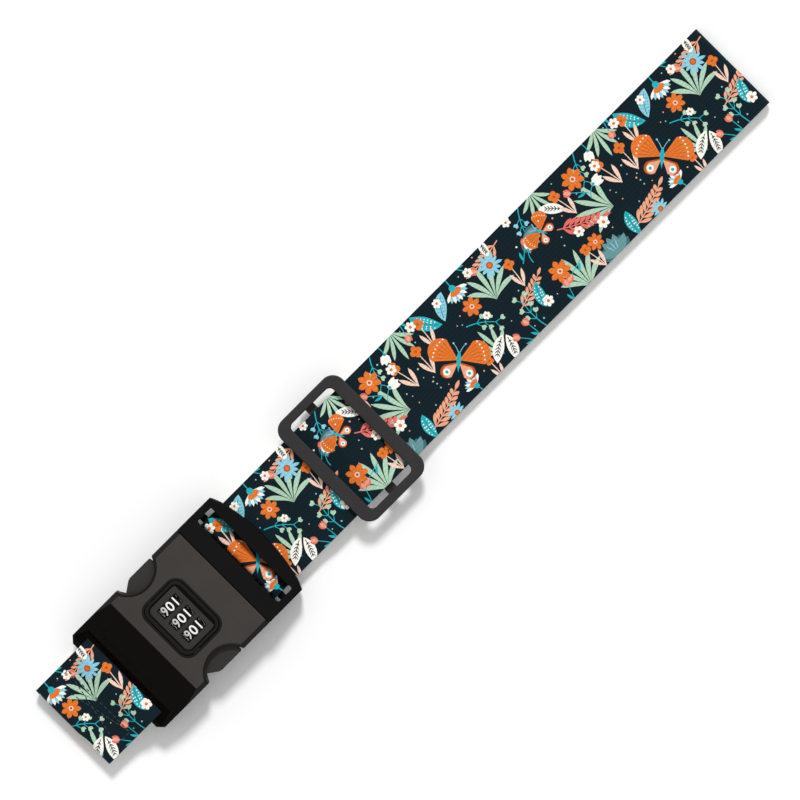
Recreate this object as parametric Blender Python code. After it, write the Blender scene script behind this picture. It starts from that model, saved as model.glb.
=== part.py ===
"""A luggage strap: printed webbing, a side-release buckle with a three-dial code lock, and a slider.

The strap is closed into its loop, pressed flat and folded once, so four plies of webbing lie on each
other with the buckle and the slider on top. It stands on z = 0. +X runs along the strap from the socket
half of the buckle to the plug half, +Y runs across it and +Z points up. The origin is the middle of the
footprint. All sizes below are in millimetres.
"""

import math

import bmesh
import bpy
from mathutils import Matrix, Vector

MM = 0.001
GAP = 0.3  # running clearance between two pieces

# Webbing
WEB_WIDTH = 50.0
WEB_THICK = 1.2
PLY = WEB_THICK + GAP  # from one ply's middle to the next
HALF_LENGTH = 225.0  # from the middle of the footprint to either fold
DECK = 3 * PLY  # the buckle and the slider lie on three plies
TOP_PLY = DECK + WEB_THICK / 2
FOLD = WEB_THICK / 2 + 0.15  # middle radius of the tightest fold
BRIDGE_FROM, BRIDGE_TO = 100.0, 205.0  # the stretch that crumples as the buckle is drawn apart

# Buckle
HALF_WIDTH = 31.3
SOCKET_END = -196.0  # outer edge of the socket's webbing bar
SOCKET_MOUTH = -122.0
HOOD_EDGE = -185.8  # the hood covers the webbing loop from here
FACE_EDGE = -170.7  # the hood's slope ends in the flat face here
FACE_Z = 18.0
HOOD_Z = 14.2
SPLIT_Z = 7.9  # the shell and the base cover part here
WALL = 2.1
CEILING_Z = FACE_Z - 2.0
SLOT_HALF = 27.5  # half the clear width for the webbing
BAR_LOW, BAR_HIGH = 8.6, 12.0
BAR_INNER = -189.4
THUMB_X, THUMB_Y, THUMB_R = -151.2, 35.4, 12.6
SCREWS = [(-176.0, 20.0), (-128.6, 17.8)]
SCREW_R, SCREW_HEAD_R, BOSS_R = 0.9, 1.9, 2.4

# Code lock
DIAL_X, DIAL_Z = -149.8, 13.3
DIAL_R, DIAL_WIDTH, DIAL_PITCH = 6.0, 5.2, 7.9
DIAL_BORE = 3.5
BEZEL_LENGTH, BEZEL_WIDTH, BEZEL_TOP = 24.0, 32.0, 19.3
WINDOW_LENGTH, WINDOW_WIDTH = 12.6, 5.9
SHAFT_R = 1.5
BASE_FLOOR = DECK + 1.6

RESET_AT = (-134.5, 0.0)

# Plug
PLUG_SHOULDER = -121.5
PLUG_END = -94.4
WINDOW_FROM, WINDOW_TO = -112.5, -102.9
PLUG_BAR = (-110.7, -107.2, 6.6, 9.2)  # x from, x to, z from, z to
END_BAR_LOW = 8.0
ARM_LOW, ARM_HIGH = 8.2, CEILING_Z - GAP
ARM_ROOT = -124.4
ARM_PIVOT_Y = 23.4

# Slider
SLIDER_X = -35.3
SLIDER_LENGTH, SLIDER_WIDTH, SLIDER_CORNER = 41.3, 66.0, 6.7
SLIDER_WINDOW_LENGTH, SLIDER_WINDOW_WIDTH = 27.8, 56.8
SLIDER_LOW, SLIDER_HIGH = 9.4, 12.2
SLIDER_BAR = (SLIDER_X - 2.7, SLIDER_X + 2.7, 6.0, 8.0)


# ---------------------------------------------------------------- tools


def clear_scene():
    for obj in list(bpy.data.objects):
        bpy.data.objects.remove(obj)


def material(name, colour, roughness, metallic=0.0):
    made = bpy.data.materials.new(name)
    made.use_nodes = True
    shader = made.node_tree.nodes["Principled BSDF"]
    shader.inputs["Base Color"].default_value = (*colour, 1.0)
    shader.inputs["Roughness"].default_value = roughness
    shader.inputs["Metallic"].default_value = metallic
    return made


def place(bm, name, look=None):
    """Makes an object of a bmesh drawn in millimetres."""
    bmesh.ops.recalc_face_normals(bm, faces=bm.faces)
    bmesh.ops.scale(bm, vec=(MM, MM, MM), verts=bm.verts)
    mesh = bpy.data.meshes.new(name)
    bm.to_mesh(mesh)
    bm.free()
    obj = bpy.data.objects.new(name, mesh)
    bpy.context.scene.collection.objects.link(obj)
    if look:
        mesh.materials.append(look)
    return obj


def prism(name, outline, low, high, across, look=None):
    """Extrudes an outline along an axis. Across "z" takes (x, y) points and across "y" takes (x, z)."""
    bm = bmesh.new()
    if across == "z":
        ring = [bm.verts.new((a, b, low)) for a, b in outline]
        step = (0, 0, high - low)
    else:
        ring = [bm.verts.new((a, low, b)) for a, b in outline]
        step = (0, high - low, 0)
    face = bm.faces.new(ring)
    grown = bmesh.ops.extrude_face_region(bm, geom=[face])["geom"]
    bmesh.ops.translate(bm, vec=step, verts=[v for v in grown if isinstance(v, bmesh.types.BMVert)])
    return place(bm, name, look)


def box(name, x, y, z, look=None):
    return prism(name, [(x[0], y[0]), (x[1], y[0]), (x[1], y[1]), (x[0], y[1])], *z, "z", look)


def rounded(x, y, radius, steps=5):
    """A rectangle with round corners, as points."""
    points = []
    corners = [(x[1], y[1], 0), (x[0], y[1], 90), (x[0], y[0], 180), (x[1], y[0], 270)]
    for cx, cy, start in corners:
        outward = Vector((math.copysign(1, cx - sum(x) / 2), math.copysign(1, cy - sum(y) / 2)))
        inward = Vector((cx, cy)) - radius * outward
        for step in range(steps + 1):
            turn = math.radians(start + 90 * step / steps)
            points.append((inward.x + radius * math.cos(turn), inward.y + radius * math.sin(turn)))
    return points


def round_bar(name, x, z, half, radius, look=None):
    return prism(name, rounded(x, z, radius, 3), -half, half, "y", look)


def disc(name, centre, radius, low, high, sides=24, look=None):
    turns = [2 * math.pi * k / sides for k in range(sides)]
    outline = [(centre[0] + radius * math.cos(t), centre[1] + radius * math.sin(t)) for t in turns]
    return prism(name, outline, low, high, "z", look)


def lathe(name, profile, middle, sides, look=None):
    """Turns a closed profile of (radius, y) about the Y axis through middle."""
    bm = bmesh.new()
    rings = []
    for k in range(sides):
        turn = 2 * math.pi * k / sides
        away = Vector((math.sin(turn), 0, math.cos(turn)))
        rings.append([bm.verts.new(Vector(middle) + r * away + Vector((0, y, 0))) for r, y in profile])
    count = len(profile)
    for k in range(sides):
        here, there = rings[k], rings[(k + 1) % sides]
        for i in range(count):
            j = (i + 1) % count
            if profile[i][0] or profile[j][0]:
                bm.faces.new((here[i], here[j], there[j], there[i]))
    bmesh.ops.remove_doubles(bm, verts=bm.verts, dist=0.001)
    return place(bm, name, look)


def tool(target, other, operation):
    """Adds a Boolean with a hidden helper."""
    other.hide_render = True
    other.display_type = "WIRE"
    made = target.modifiers.new(other.name, "BOOLEAN")
    made.operation = operation
    made.object = other


def cut(target, *others):
    for other in others:
        tool(target, other, "DIFFERENCE")


def join(target, *others):
    for other in others:
        tool(target, other, "UNION")


def bevel(obj, width, segments=1, angle=50):
    made = obj.modifiers.new("edges", "BEVEL")
    made.width = width * MM
    made.segments = segments
    made.limit_method = "ANGLE"
    made.angle_limit = math.radians(angle)


def pivot(obj, x, y, z):
    """Moves an object's origin onto its joint's axis and leaves its shape in place."""
    point = Vector((x, y, z)) * MM
    obj.data.transform(Matrix.Translation(-point))
    obj.location = obj.location + point


def smooth(obj):
    obj.data.shade_smooth()
    obj.data.set_sharp_from_angle(angle=math.radians(35))


# ---------------------------------------------------------------- webbing


def route(corners, steps=6):
    """A smooth line through corners (x, z, radius): straight runs joined by arcs of that radius."""
    points = [Vector(corners[0][:2])]
    for before, here, after in zip(corners, corners[1:], corners[2:]):
        corner = Vector(here[:2])
        back = (Vector(before[:2]) - corner).normalized()
        ahead = (Vector(after[:2]) - corner).normalized()
        half = back.angle(ahead) / 2
        reach = here[2] / math.tan(half)
        centre = corner + (back + ahead).normalized() * (here[2] / math.sin(half))
        start, end = corner + back * reach, corner + ahead * reach
        turn = (start - centre).angle_signed(end - centre)
        count = max(2, round(steps * abs(turn) / (math.pi / 2)))
        for k in range(count + 1):
            points.append(centre + Matrix.Rotation(-turn * k / count, 2) @ (start - centre))
    points.append(Vector(corners[-1][:2]))
    return points


def ribbon(name, line, look):
    """Webbing along a line in the XZ plane: the line is its middle."""
    sides = []
    for i, point in enumerate(line):
        before = (point - line[i - 1]).normalized() if i else None
        after = (line[i + 1] - point).normalized() if i + 1 < len(line) else None
        ahead = before or after
        if before and after:
            ahead = (before + after).normalized()
        widen = 1 / max(0.5, ahead.dot(after or before))
        sides.append(Vector((-ahead.y, ahead.x)) * (WEB_THICK / 2 * widen))
    outline = [p + s for p, s in zip(line, sides)] + [p - s for p, s in reversed(list(zip(line, sides)))]
    return prism(name, [tuple(p) for p in outline], -WEB_WIDTH / 2, WEB_WIDTH / 2, "y", look)


def long_run():
    """From the sewn end at the socket, round both folds of the put-away strap, to the bridge."""
    left, right = -HALF_LENGTH + WEB_THICK / 2, HALF_LENGTH - WEB_THICK / 2
    over = BAR_HIGH + GAP + WEB_THICK / 2
    under = BAR_LOW - GAP - WEB_THICK / 2
    loop_x = BAR_INNER + 2.1
    third, second, first = DECK - PLY / 2 - 0.15, DECK - 1.5 * PLY - 0.15, DECK - 2.5 * PLY - 0.15
    return [
        (-217.5, 7.0, 0),
        (-205.0, 8.0, 4),
        (-198.0, under, 4),
        (loop_x, under, 2.2),
        (loop_x, over, 2.4),
        (-197.0, over, 3),
        (-204.5, 9.7, 6),
        (-212.0, 8.8, 12),
        (left, 8.4, 2.35),
        (left, third, 2.35),
        (right - 2.4, third, FOLD - 0.01),
        (right - 2.4, second, FOLD - 0.01),
        (left + 0.7, second, FOLD - 0.01),
        (left + 0.7, first, FOLD - 0.01),
        (right, first, (TOP_PLY - first) / 2 - 0.01),
        (right, TOP_PLY, (TOP_PLY - first) / 2 - 0.01),
        (BRIDGE_TO + GAP / 2, TOP_PLY, 0),
    ]


def live_run():
    """From the bridge to the crest over the slider's bar."""
    crest = SLIDER_BAR[3] + 2 * GAP + 1.5 * WEB_THICK
    return [
        (BRIDGE_FROM - GAP / 2, TOP_PLY, 0),
        (1.0, TOP_PLY, 30),
        (-19.0, 7.9, 20),
        (-31.0, crest, 6),
        (SLIDER_X + GAP / 2, crest, 0),
    ]


def adjuster_loop():
    """From the crest, through the plug and back, to the sewn end round the slider's bar."""
    crest = SLIDER_BAR[3] + 2 * GAP + 1.5 * WEB_THICK
    tail = TOP_PLY + PLY
    live = tail + PLY + GAP
    x_from, x_to, z_from, z_to = PLUG_BAR
    over_plug = z_to + GAP + WEB_THICK / 2
    round_plug = x_from - GAP - WEB_THICK / 2
    over_bar = SLIDER_BAR[3] + GAP + WEB_THICK / 2
    return [
        (SLIDER_X - GAP / 2, crest, 0),
        (-39.5, crest, 6),
        (-48.5, live, 12),
        (-69.0, live, 14),
        (-80.0, tail, 14),
        (-103.2, tail, 1.6),
        (-107.0, over_plug, 2.0),
        (round_plug, over_plug, 1.5),
        (round_plug, TOP_PLY, 1.5),
        (SLIDER_BAR[1] + GAP + WEB_THICK / 2, TOP_PLY, 1.8),
        (SLIDER_BAR[1] + GAP + WEB_THICK / 2, over_bar, 1.8),
        (-39.0, over_bar, 5),
        (-45.0, tail, 5),
        (-66.0, tail, 0),
    ]


def stitched_box(name, length, middle, slope, look):
    """A box stitch with its cross, lying on a ply that slopes by that many degrees."""
    half, side, thread = length / 2, 21.0, 0.45
    obj = prism(name, rounded((-half, half), (-side, side), 1.0, 2), 0, 0.2, "z", look)
    inside = rounded((-half + thread, half - thread), (-side + thread, side - thread), 0.6, 2)
    inner = prism(name + "_inside", inside, -1, 1, "z")
    cut(obj, inner)
    diagonal = math.atan2(side, half)
    for k, turn in enumerate((diagonal, -diagonal)):
        reach = math.hypot(half, side) - 0.6
        bar = box(f"{name}_cross_{k}", (-reach, reach), (-thread / 2, thread / 2), (0.02, 0.18))
        bar.data.transform(Matrix.Rotation(turn, 4, "Z"))
        bar.parent = obj
        join(obj, bar)
    inner.parent = obj
    obj.location = Vector(middle) * MM
    obj.rotation_euler = (0, math.radians(slope), 0)
    return obj


# ---------------------------------------------------------------- socket


def thumb_cutters(name):
    return [disc(f"{name}_thumb_{s}", (THUMB_X, s * THUMB_Y), THUMB_R, 0, 30, 40) for s in (-1, 1)]


def socket_shell(look):
    """The upper moulding: hood, flat face, side walls, horns and webbing bar."""
    profile = [
        (SOCKET_END, SPLIT_Z - 1.4),
        (SOCKET_MOUTH, SPLIT_Z - 1.4),
        (SOCKET_MOUTH, FACE_Z),
        (FACE_EDGE, FACE_Z),
        (HOOD_EDGE, HOOD_Z),
        (SOCKET_END + 2.2, 12.4),
        (SOCKET_END, 10.6),
    ]
    shell = prism("socket_shell", profile, -HALF_WIDTH, HALF_WIDTH, "y", look)
    bevel(shell, 1.1, 2, 60)
    below = box("shell_below", (HOOD_EDGE + 2.8, 0), (-40, 40), (0, SPLIT_Z))
    strap = box("shell_strap", (-210, HOOD_EDGE), (-SLOT_HALF, SLOT_HALF), (0, 30))
    under_hood = box("shell_under_hood", (-190, -182.8), (-SLOT_HALF, SLOT_HALF), (0, 13.2))
    hollow = box("shell_hollow", (-168.2, -100), (-HALF_WIDTH + WALL, HALF_WIDTH - WALL), (0, CEILING_Z))
    inner_y = (-HALF_WIDTH + WALL, HALF_WIDTH - WALL)
    hood_hollow = box("shell_hood_hollow", (-180.9, -167.0), inner_y, (0, 12.4))
    opening = prism(
        "shell_opening",
        rounded(
            (DIAL_X - BEZEL_LENGTH / 2 - GAP, DIAL_X + BEZEL_LENGTH / 2 + GAP),
            (-BEZEL_WIDTH / 2 - GAP, BEZEL_WIDTH / 2 + GAP),
            5.3,
        ),
        10,
        30,
        "z",
    )
    cut(shell, below, strap, under_hood, hollow, hood_hollow, *thumb_cutters("shell"), opening)
    bar = round_bar("shell_bar", (SOCKET_END, BAR_INNER), (BAR_LOW, BAR_HIGH), SLOT_HALF + 1, 1.5)
    join(shell, bar)
    for k, (x, y) in enumerate((x, s * y) for x, y in SCREWS for s in (-1, 1)):
        top = CEILING_Z + 0.6 if x > -160 else 13.0
        join(shell, disc(f"shell_boss_{k}", (x, y), BOSS_R, SPLIT_Z, top))
        cut(shell, disc(f"shell_pilot_{k}", (x, y), SCREW_R + GAP, 0, 12.0, 12))
    panel_slope = math.atan2(FACE_Z - HOOD_Z, FACE_EDGE - HOOD_EDGE)
    panel = prism("shell_panel", rounded((-6.2, 6.2), (-21.6, 21.6), 1.6, 3), -0.35, 2, "z")
    panel.rotation_euler = (0, -panel_slope, 0)
    middle = Vector(((FACE_EDGE + HOOD_EDGE) / 2 + 1.0, 0, (FACE_Z + HOOD_Z) / 2 + 0.25))
    panel.location = middle * MM
    cut(shell, panel)
    smooth(shell)
    return shell


def socket_base(look):
    """The cover that closes the socket from below, with the reset button's hole and four screw holes."""
    x = (HOOD_EDGE + 2.8 + GAP, SOCKET_MOUTH)
    base = box("socket_base", x, (-HALF_WIDTH, HALF_WIDTH), (DECK, SPLIT_Z - GAP), look)
    bevel(base, 0.7, 1, 60)
    tray = box("base_tray", (x[0] + WALL, -100), (-HALF_WIDTH + WALL, HALF_WIDTH - WALL), (BASE_FLOOR, 20))
    cut(base, tray, *thumb_cutters("base"), disc("base_reset_hole", RESET_AT, 2.3, 0, 20, 16))
    for k, (sx, sy) in enumerate((x, s * y) for x, y in SCREWS for s in (-1, 1)):
        join(base, disc(f"base_boss_{k}", (sx, sy), BOSS_R, BASE_FLOOR - 0.5, SPLIT_Z - GAP))
        hole = disc(f"base_hole_{k}", (sx, sy), SCREW_R + GAP, 0, 20, 12)
        seat = disc(f"base_seat_{k}", (sx, sy), SCREW_HEAD_R + GAP, 0, DECK + 1.3, 16)
        cut(base, hole, seat)
    smooth(base)
    return base


def reset_button(look):
    """The code-change button: its foot stands in the base cover and its flange keeps it in."""
    button = lathe(
        "code_reset_button",
        [(0, 0), (2.0, 0), (2.0, 2.1), (3.2, 2.1), (3.2, 2.9), (0, 2.9)],
        (0, 0, 0),
        16,
        look,
    )
    button.rotation_euler = (math.radians(90), 0, 0)
    button.location = Vector((*RESET_AT, DECK + 0.1)) * MM
    smooth(button)
    return button


def cover_screws(look):
    """Four pan-head screws, driven up through the base cover into the shell's bosses."""
    for k, (x, y) in enumerate((x, s * y) for x, y in SCREWS for s in (-1, 1)):
        screw = disc(f"cover_screw_{k + 1}", (x, y), SCREW_HEAD_R, DECK + 0.2, DECK + 1.0, 16, look)
        join(screw, disc(f"screw_shank_{k}", (x, y), SCREW_R, DECK + 0.5, 11.6, 12))
        slot = box(f"screw_slot_{k}", (x - 1.4, x + 1.4), (y - 0.25, y + 0.25), (0, DECK + 0.55))
        cross = box(f"screw_cross_{k}", (x - 0.25, x + 0.25), (y - 1.4, y + 1.4), (0, DECK + 0.55))
        cut(screw, slot, cross)


# ---------------------------------------------------------------- code lock


def dial_bezel(look):
    """The raised insert with three windows. Its cheeks hold the dials' shaft."""
    x = (DIAL_X - BEZEL_LENGTH / 2, DIAL_X + BEZEL_LENGTH / 2)
    outline = rounded(x, (-BEZEL_WIDTH / 2, BEZEL_WIDTH / 2), 5.0)
    bezel = prism("dial_bezel", outline, CEILING_Z - 0.3, BEZEL_TOP, "z", look)
    bevel(bezel, 0.8, 2, 60)
    chamber = box("bezel_chamber", (DIAL_X - 6.8, DIAL_X + 6.8), (-13.2, 13.2), (0, BEZEL_TOP - 1.3))
    cut(bezel, chamber)
    dish = rounded((x[0] + 3.0, x[1] - 3.0), (-13.9, 13.9), 2.6)
    cut(bezel, prism("bezel_dish", dish, BEZEL_TOP - 0.35, 30, "z"))
    for k in (-1, 0, 1):
        y = k * DIAL_PITCH
        cut(
            bezel,
            box(
                f"bezel_window_{k}",
                (DIAL_X - WINDOW_LENGTH / 2, DIAL_X + WINDOW_LENGTH / 2),
                (y - WINDOW_WIDTH / 2, y + WINDOW_WIDTH / 2),
                (10, 30),
            ),
        )
    for side in (-1, 1):
        y = sorted((side * 13.6, side * 15.3))
        cheek = box(f"bezel_cheek_{side}", (DIAL_X - 4.5, DIAL_X + 4.5), y, (DIAL_Z - 4.0, CEILING_Z + 0.5))
        join(bezel, cheek)
    bore_r = SHAFT_R + GAP
    cut(bezel, lathe("bezel_bore", [(0, -20), (bore_r, -20), (bore_r, 20), (0, 20)], (DIAL_X, 0, DIAL_Z), 16))
    smooth(bezel)
    return bezel


def dial_shaft(look):
    half, chamfer = BEZEL_WIDTH / 2 - 0.4, 0.3
    profile = [
        (0, -half),
        (SHAFT_R - chamfer, -half),
        (SHAFT_R, -half + chamfer),
        (SHAFT_R, half - chamfer),
        (SHAFT_R - chamfer, half),
        (0, half),
    ]
    shaft = lathe("dial_shaft", profile, (DIAL_X, 0, DIAL_Z), 16, look)
    smooth(shaft)
    return shaft


def dial_wheel(number, y, look):
    """A number wheel: ten flats for the digits with a finger groove between each two."""
    bm = bmesh.new()
    digits, steps_each = 10, 4
    steps = digits * steps_each
    half, rim, groove = DIAL_WIDTH / 2, 0.3, 0.55
    rings = []
    for k in range(steps):
        turn = 2 * math.pi * k / steps
        outer = DIAL_R - (groove if k % steps_each == steps_each / 2 else 0.0)
        away = Vector((math.sin(turn), 0, math.cos(turn)))
        middle = Vector((DIAL_X, y, DIAL_Z))
        profile = [
            (DIAL_BORE, -half),
            (outer - rim, -half),
            (outer, -half + rim),
            (outer, half - rim),
            (outer - rim, half),
            (DIAL_BORE, half),
        ]
        rings.append([bm.verts.new(middle + r * away + Vector((0, w, 0))) for r, w in profile])
    for k in range(steps):
        here, there = rings[k], rings[(k + 1) % steps]
        for i in range(len(profile)):
            j = (i + 1) % len(profile)
            bm.faces.new((here[i], here[j], there[j], there[i]))
    wheel = place(bm, f"dial_wheel_{number}", look)
    pivot(wheel, DIAL_X, y, DIAL_Z)
    smooth(wheel)
    return wheel


def code_sleeve(number, y, look):
    """The sleeve inside a wheel. The flat on its flange is the gate that the lock plate feels for."""
    outer, bore, flange = DIAL_BORE - GAP, SHAFT_R + GAP, 4.7
    profile = [(bore, -2.6), (outer, -2.6), (outer, 2.9), (flange, 2.9), (flange, 4.2), (bore, 4.2)]
    sleeve = lathe(f"code_sleeve_{number}", profile, (DIAL_X, y, DIAL_Z), 20, look)
    gate = box(f"sleeve_gate_{number}", (DIAL_X - 6, DIAL_X + 6), (y + 2.95, y + 6), (0, DIAL_Z - 3.8))
    cut(sleeve, gate)
    pivot(sleeve, DIAL_X, y, DIAL_Z)
    smooth(sleeve)
    return sleeve


def click_spring(look):
    """A leaf with three fingers that click into the wheels' grooves."""
    x = DIAL_X + DIAL_R + 0.5
    leaf = box("dial_click_spring", (x, x + 0.4), (-12.6, 12.6), (9.4, 15.2), look)
    for k, y in enumerate((-DIAL_PITCH / 2, DIAL_PITCH / 2)):
        cut(leaf, box(f"leaf_slot_{k}", (x - 1, x + 1), (y - 0.6, y + 0.6), (10.6, 20)))
    return leaf


def lock_plate(look):
    """The sliding plate under the dials, with a finger for each sleeve and a tab for its spring."""
    low, high = BASE_FLOOR + GAP, BASE_FLOOR + GAP + 0.6
    plate = box("lock_plate", (-158.6, -142.0), (-13.0, 13.0), (low, high), look)
    parts = [box("plate_wings", (-158.6, -155.0), (-17.2, 17.2), (low, high))]
    parts.append(box("plate_tab", (-158.6, -157.8), (-2.6, 2.6), (low, 10.8)))
    for k in (-1, 0, 1):
        y = k * DIAL_PITCH + 3.55
        parts.append(box(f"plate_finger_{k}", (DIAL_X - 1.2, DIAL_X + 1.2), (y - 0.5, y + 0.5), (low, 8.2)))
    join(plate, *parts)
    return plate


def lock_spring(look):
    """The coil that pushes the lock plate home."""
    wire, radius, turns, steps = 0.22, 1.4, 5, 10
    start, end = -167.6, -158.6 - GAP - wire - 0.1
    curve = bpy.data.curves.new("lock_spring", "CURVE")
    curve.dimensions = "3D"
    curve.bevel_depth = wire * MM
    curve.bevel_resolution = 1
    curve.use_fill_caps = True
    spline = curve.splines.new("POLY")
    count = turns * steps + 1
    spline.points.add(count - 1)
    for k in range(count):
        turn = 2 * math.pi * k / steps
        x = start + wire + 0.1 + (end - start - wire) * k / (count - 1)
        point = Vector((x, radius * math.cos(turn), 8.9 + radius * math.sin(turn))) * MM
        spline.points[k].co = (*point, 1)
    curve.materials.append(look)
    spring = bpy.data.objects.new("lock_spring", curve)
    bpy.context.scene.collection.objects.link(spring)
    return spring


# ---------------------------------------------------------------- plug


def plug_outline():
    """The plug seen from above: straight sides, cut corners and a bowed end bar."""
    bow_depth, shoulder = 3.3, 26.0
    bow = (shoulder**2 + bow_depth**2) / (2 * bow_depth)
    corner = (PLUG_END - 5.6, HALF_WIDTH)
    points = [(PLUG_SHOULDER, HALF_WIDTH), (PLUG_SHOULDER, -HALF_WIDTH), (corner[0], -corner[1])]
    steps = 10
    sweep = math.asin(shoulder / bow)
    for k in range(steps + 1):
        turn = -sweep + 2 * sweep * k / steps
        points.append((PLUG_END - bow + bow * math.cos(turn), bow * math.sin(turn)))
    points.append(corner)
    return points


def plug_frame(look):
    """The plug half: frame with its webbing window and bars, tongue, and the lugs behind the arms."""
    profile = [
        (PLUG_SHOULDER, DECK),
        (PLUG_END + 1, DECK),
        (PLUG_END + 1, 12.2),
        (WINDOW_TO, 13.6),
        (WINDOW_FROM, 15.4),
        (PLUG_SHOULDER, FACE_Z - 0.2),
    ]
    frame = prism("plug_frame", plug_outline(), 0, 30, "z", look)
    tool(frame, prism("plug_profile", profile, -40, 40, "y"), "INTERSECT")
    bevel(frame, 0.9, 2, 40)
    window = box("plug_window", (WINDOW_FROM, WINDOW_TO), (-SLOT_HALF, SLOT_HALF), (0, 30))
    passage = box("plug_passage", (WINDOW_TO - 0.5, -90), (-SLOT_HALF, SLOT_HALF), (0, END_BAR_LOW))
    core = box("plug_core", (PLUG_SHOULDER + 1.8, WINDOW_FROM - 1.8), (-25.5, 25.5), (0, 12.5))
    cut(frame, window, passage, core)
    bar = round_bar("plug_bar", PLUG_BAR[:2], PLUG_BAR[2:], SLOT_HALF + 1, 1.1)
    tongue = box("plug_tongue", (-140.4, PLUG_SHOULDER + 0.5), (-13.0, 13.0), (9.2, 14.2))
    join(frame, bar, tongue)
    for side in (-1, 1):
        y = sorted((side * 20.5, side * 28.6))
        join(frame, box(f"plug_lug_{side}", (ARM_ROOT + GAP, PLUG_SHOULDER + 0.5), y, (ARM_LOW, ARM_HIGH)))
    cut(frame, box("plug_keyhole", (-137.5, -129.0), (-6.0, 6.0), (0, 20)))
    smooth(frame)
    return frame


def release_arm(side, name, look):
    """A springy arm with its release button, seen from above as one outline."""
    outline = [
        (ARM_ROOT, 23.2),
        (ARM_ROOT, 28.3),
        (-140.7, 28.3),
        (-140.9, 30.8),
        (-141.3, 31.2),
        (-154.0, 31.2),
        (-156.4, 30.2),
        (-160.0, 27.6),
        (-164.4, 23.8),
        (-164.8, 22.6),
        (-164.0, 21.8),
        (-147.0, 21.8),
        (-141.5, 23.6),
        (-137.5, 25.7),
        (-130.0, 25.7),
        (-127.0, 23.2),
    ]
    arm = prism(name, [(x, side * y) for x, y in outline], ARM_LOW, ARM_HIGH, "z", look)
    bevel(arm, 0.4, 1, 60)
    pivot(arm, ARM_ROOT, side * ARM_PIVOT_Y, 0)
    smooth(arm)
    return arm


# ---------------------------------------------------------------- slider


def slider_frame(look):
    """The three-bar slider. Its middle bar hangs below the frame, inside the webbing."""
    half, window = SLIDER_LENGTH / 2, SLIDER_WINDOW_LENGTH / 2
    outer_y = (-SLIDER_WIDTH / 2, SLIDER_WIDTH / 2)
    outer = rounded((SLIDER_X - half, SLIDER_X + half), outer_y, SLIDER_CORNER, 6)
    frame = prism("slider_frame", outer, SLIDER_LOW, SLIDER_HIGH, "z", look)
    window_y = (-SLIDER_WINDOW_WIDTH / 2, SLIDER_WINDOW_WIDTH / 2)
    inside = rounded((SLIDER_X - window, SLIDER_X + window), window_y, 2.7, 4)
    cut(frame, prism("slider_inside", inside, 0, 30, "z"))
    bevel(frame, 0.5, 1, 60)
    join(frame, round_bar("slider_bar", SLIDER_BAR[:2], SLIDER_BAR[2:], SLIDER_WIDTH / 2 - 1.4, 0.9))
    for side in (-1, 1):
        x = (SLIDER_BAR[0] + 0.2, SLIDER_BAR[1] - 0.2)
        y = sorted((side * (SLIDER_WINDOW_WIDTH / 2 + 0.2), side * (SLIDER_WIDTH / 2 - 1.0)))
        join(frame, box(f"slider_lug_{side}", x, y, (6.3, SLIDER_LOW + 0.8)))
    smooth(frame)
    return frame


# ---------------------------------------------------------------- assembly


def main():
    clear_scene()
    black = material("black_plastic", (0.012, 0.011, 0.011), 0.38)
    grey = material("slider_plastic", (0.035, 0.033, 0.033), 0.55)
    printed = material("printed_webbing", (0.03, 0.055, 0.06), 0.85)
    thread = material("stitching_thread", (0.01, 0.016, 0.02), 0.7)
    dial_black = material("dial_black", (0.01, 0.01, 0.01), 0.35)
    steel = material("spring_steel", (0.55, 0.56, 0.58), 0.3, 1.0)
    zinc = material("zinc_casting", (0.62, 0.61, 0.6), 0.4, 1.0)

    socket_shell(black)
    socket_base(black)
    reset_button(black)
    cover_screws(steel)

    dial_bezel(black)
    dial_shaft(steel)
    for number in (1, 2, 3):
        y = (2 - number) * DIAL_PITCH
        dial_wheel(number, y, dial_black)
        code_sleeve(number, y, zinc)
    click_spring(steel)
    lock_plate(steel)
    lock_spring(steel)

    plug_frame(black)
    release_arm(1, "release_arm_left", black)
    release_arm(-1, "release_arm_right", black)

    slider_frame(grey)

    ribbon("webbing_long_run", route(long_run()), printed)
    bridge = [Vector((BRIDGE_FROM + GAP / 2, TOP_PLY)), Vector((BRIDGE_TO - GAP / 2, TOP_PLY))]
    ribbon("webbing_bridge", bridge, printed)
    ribbon("webbing_live_run", route(live_run()), printed)
    ribbon("webbing_adjuster_loop", route(adjuster_loop()), printed)
    stitched_box("socket_stitching", 9.0, (-211.0, 0, 9.75), -5.9, thread)
    stitched_box("slider_stitching", 12.0, (-56.5, 0, TOP_PLY + PLY + WEB_THICK / 2 + 0.08), 0, thread)


main()
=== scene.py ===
"""The looks of a luggage strap: printed webbing, a side-release buckle with number dials, and a slider.

Drawing is in millimetres and MM turns it into the frame's metres. +X runs along the strap from the socket
to the plug, +Y across it and +Z up. The webbing is drawn flat, as lengths along it and places across it,
and then laid along its route.
"""

import math
import random
from bisect import bisect_left

import bmesh
import bpy
import numpy as np
from mathutils import Matrix, Vector
from mathutils.geometry import delaunay_2d_cdt


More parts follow.
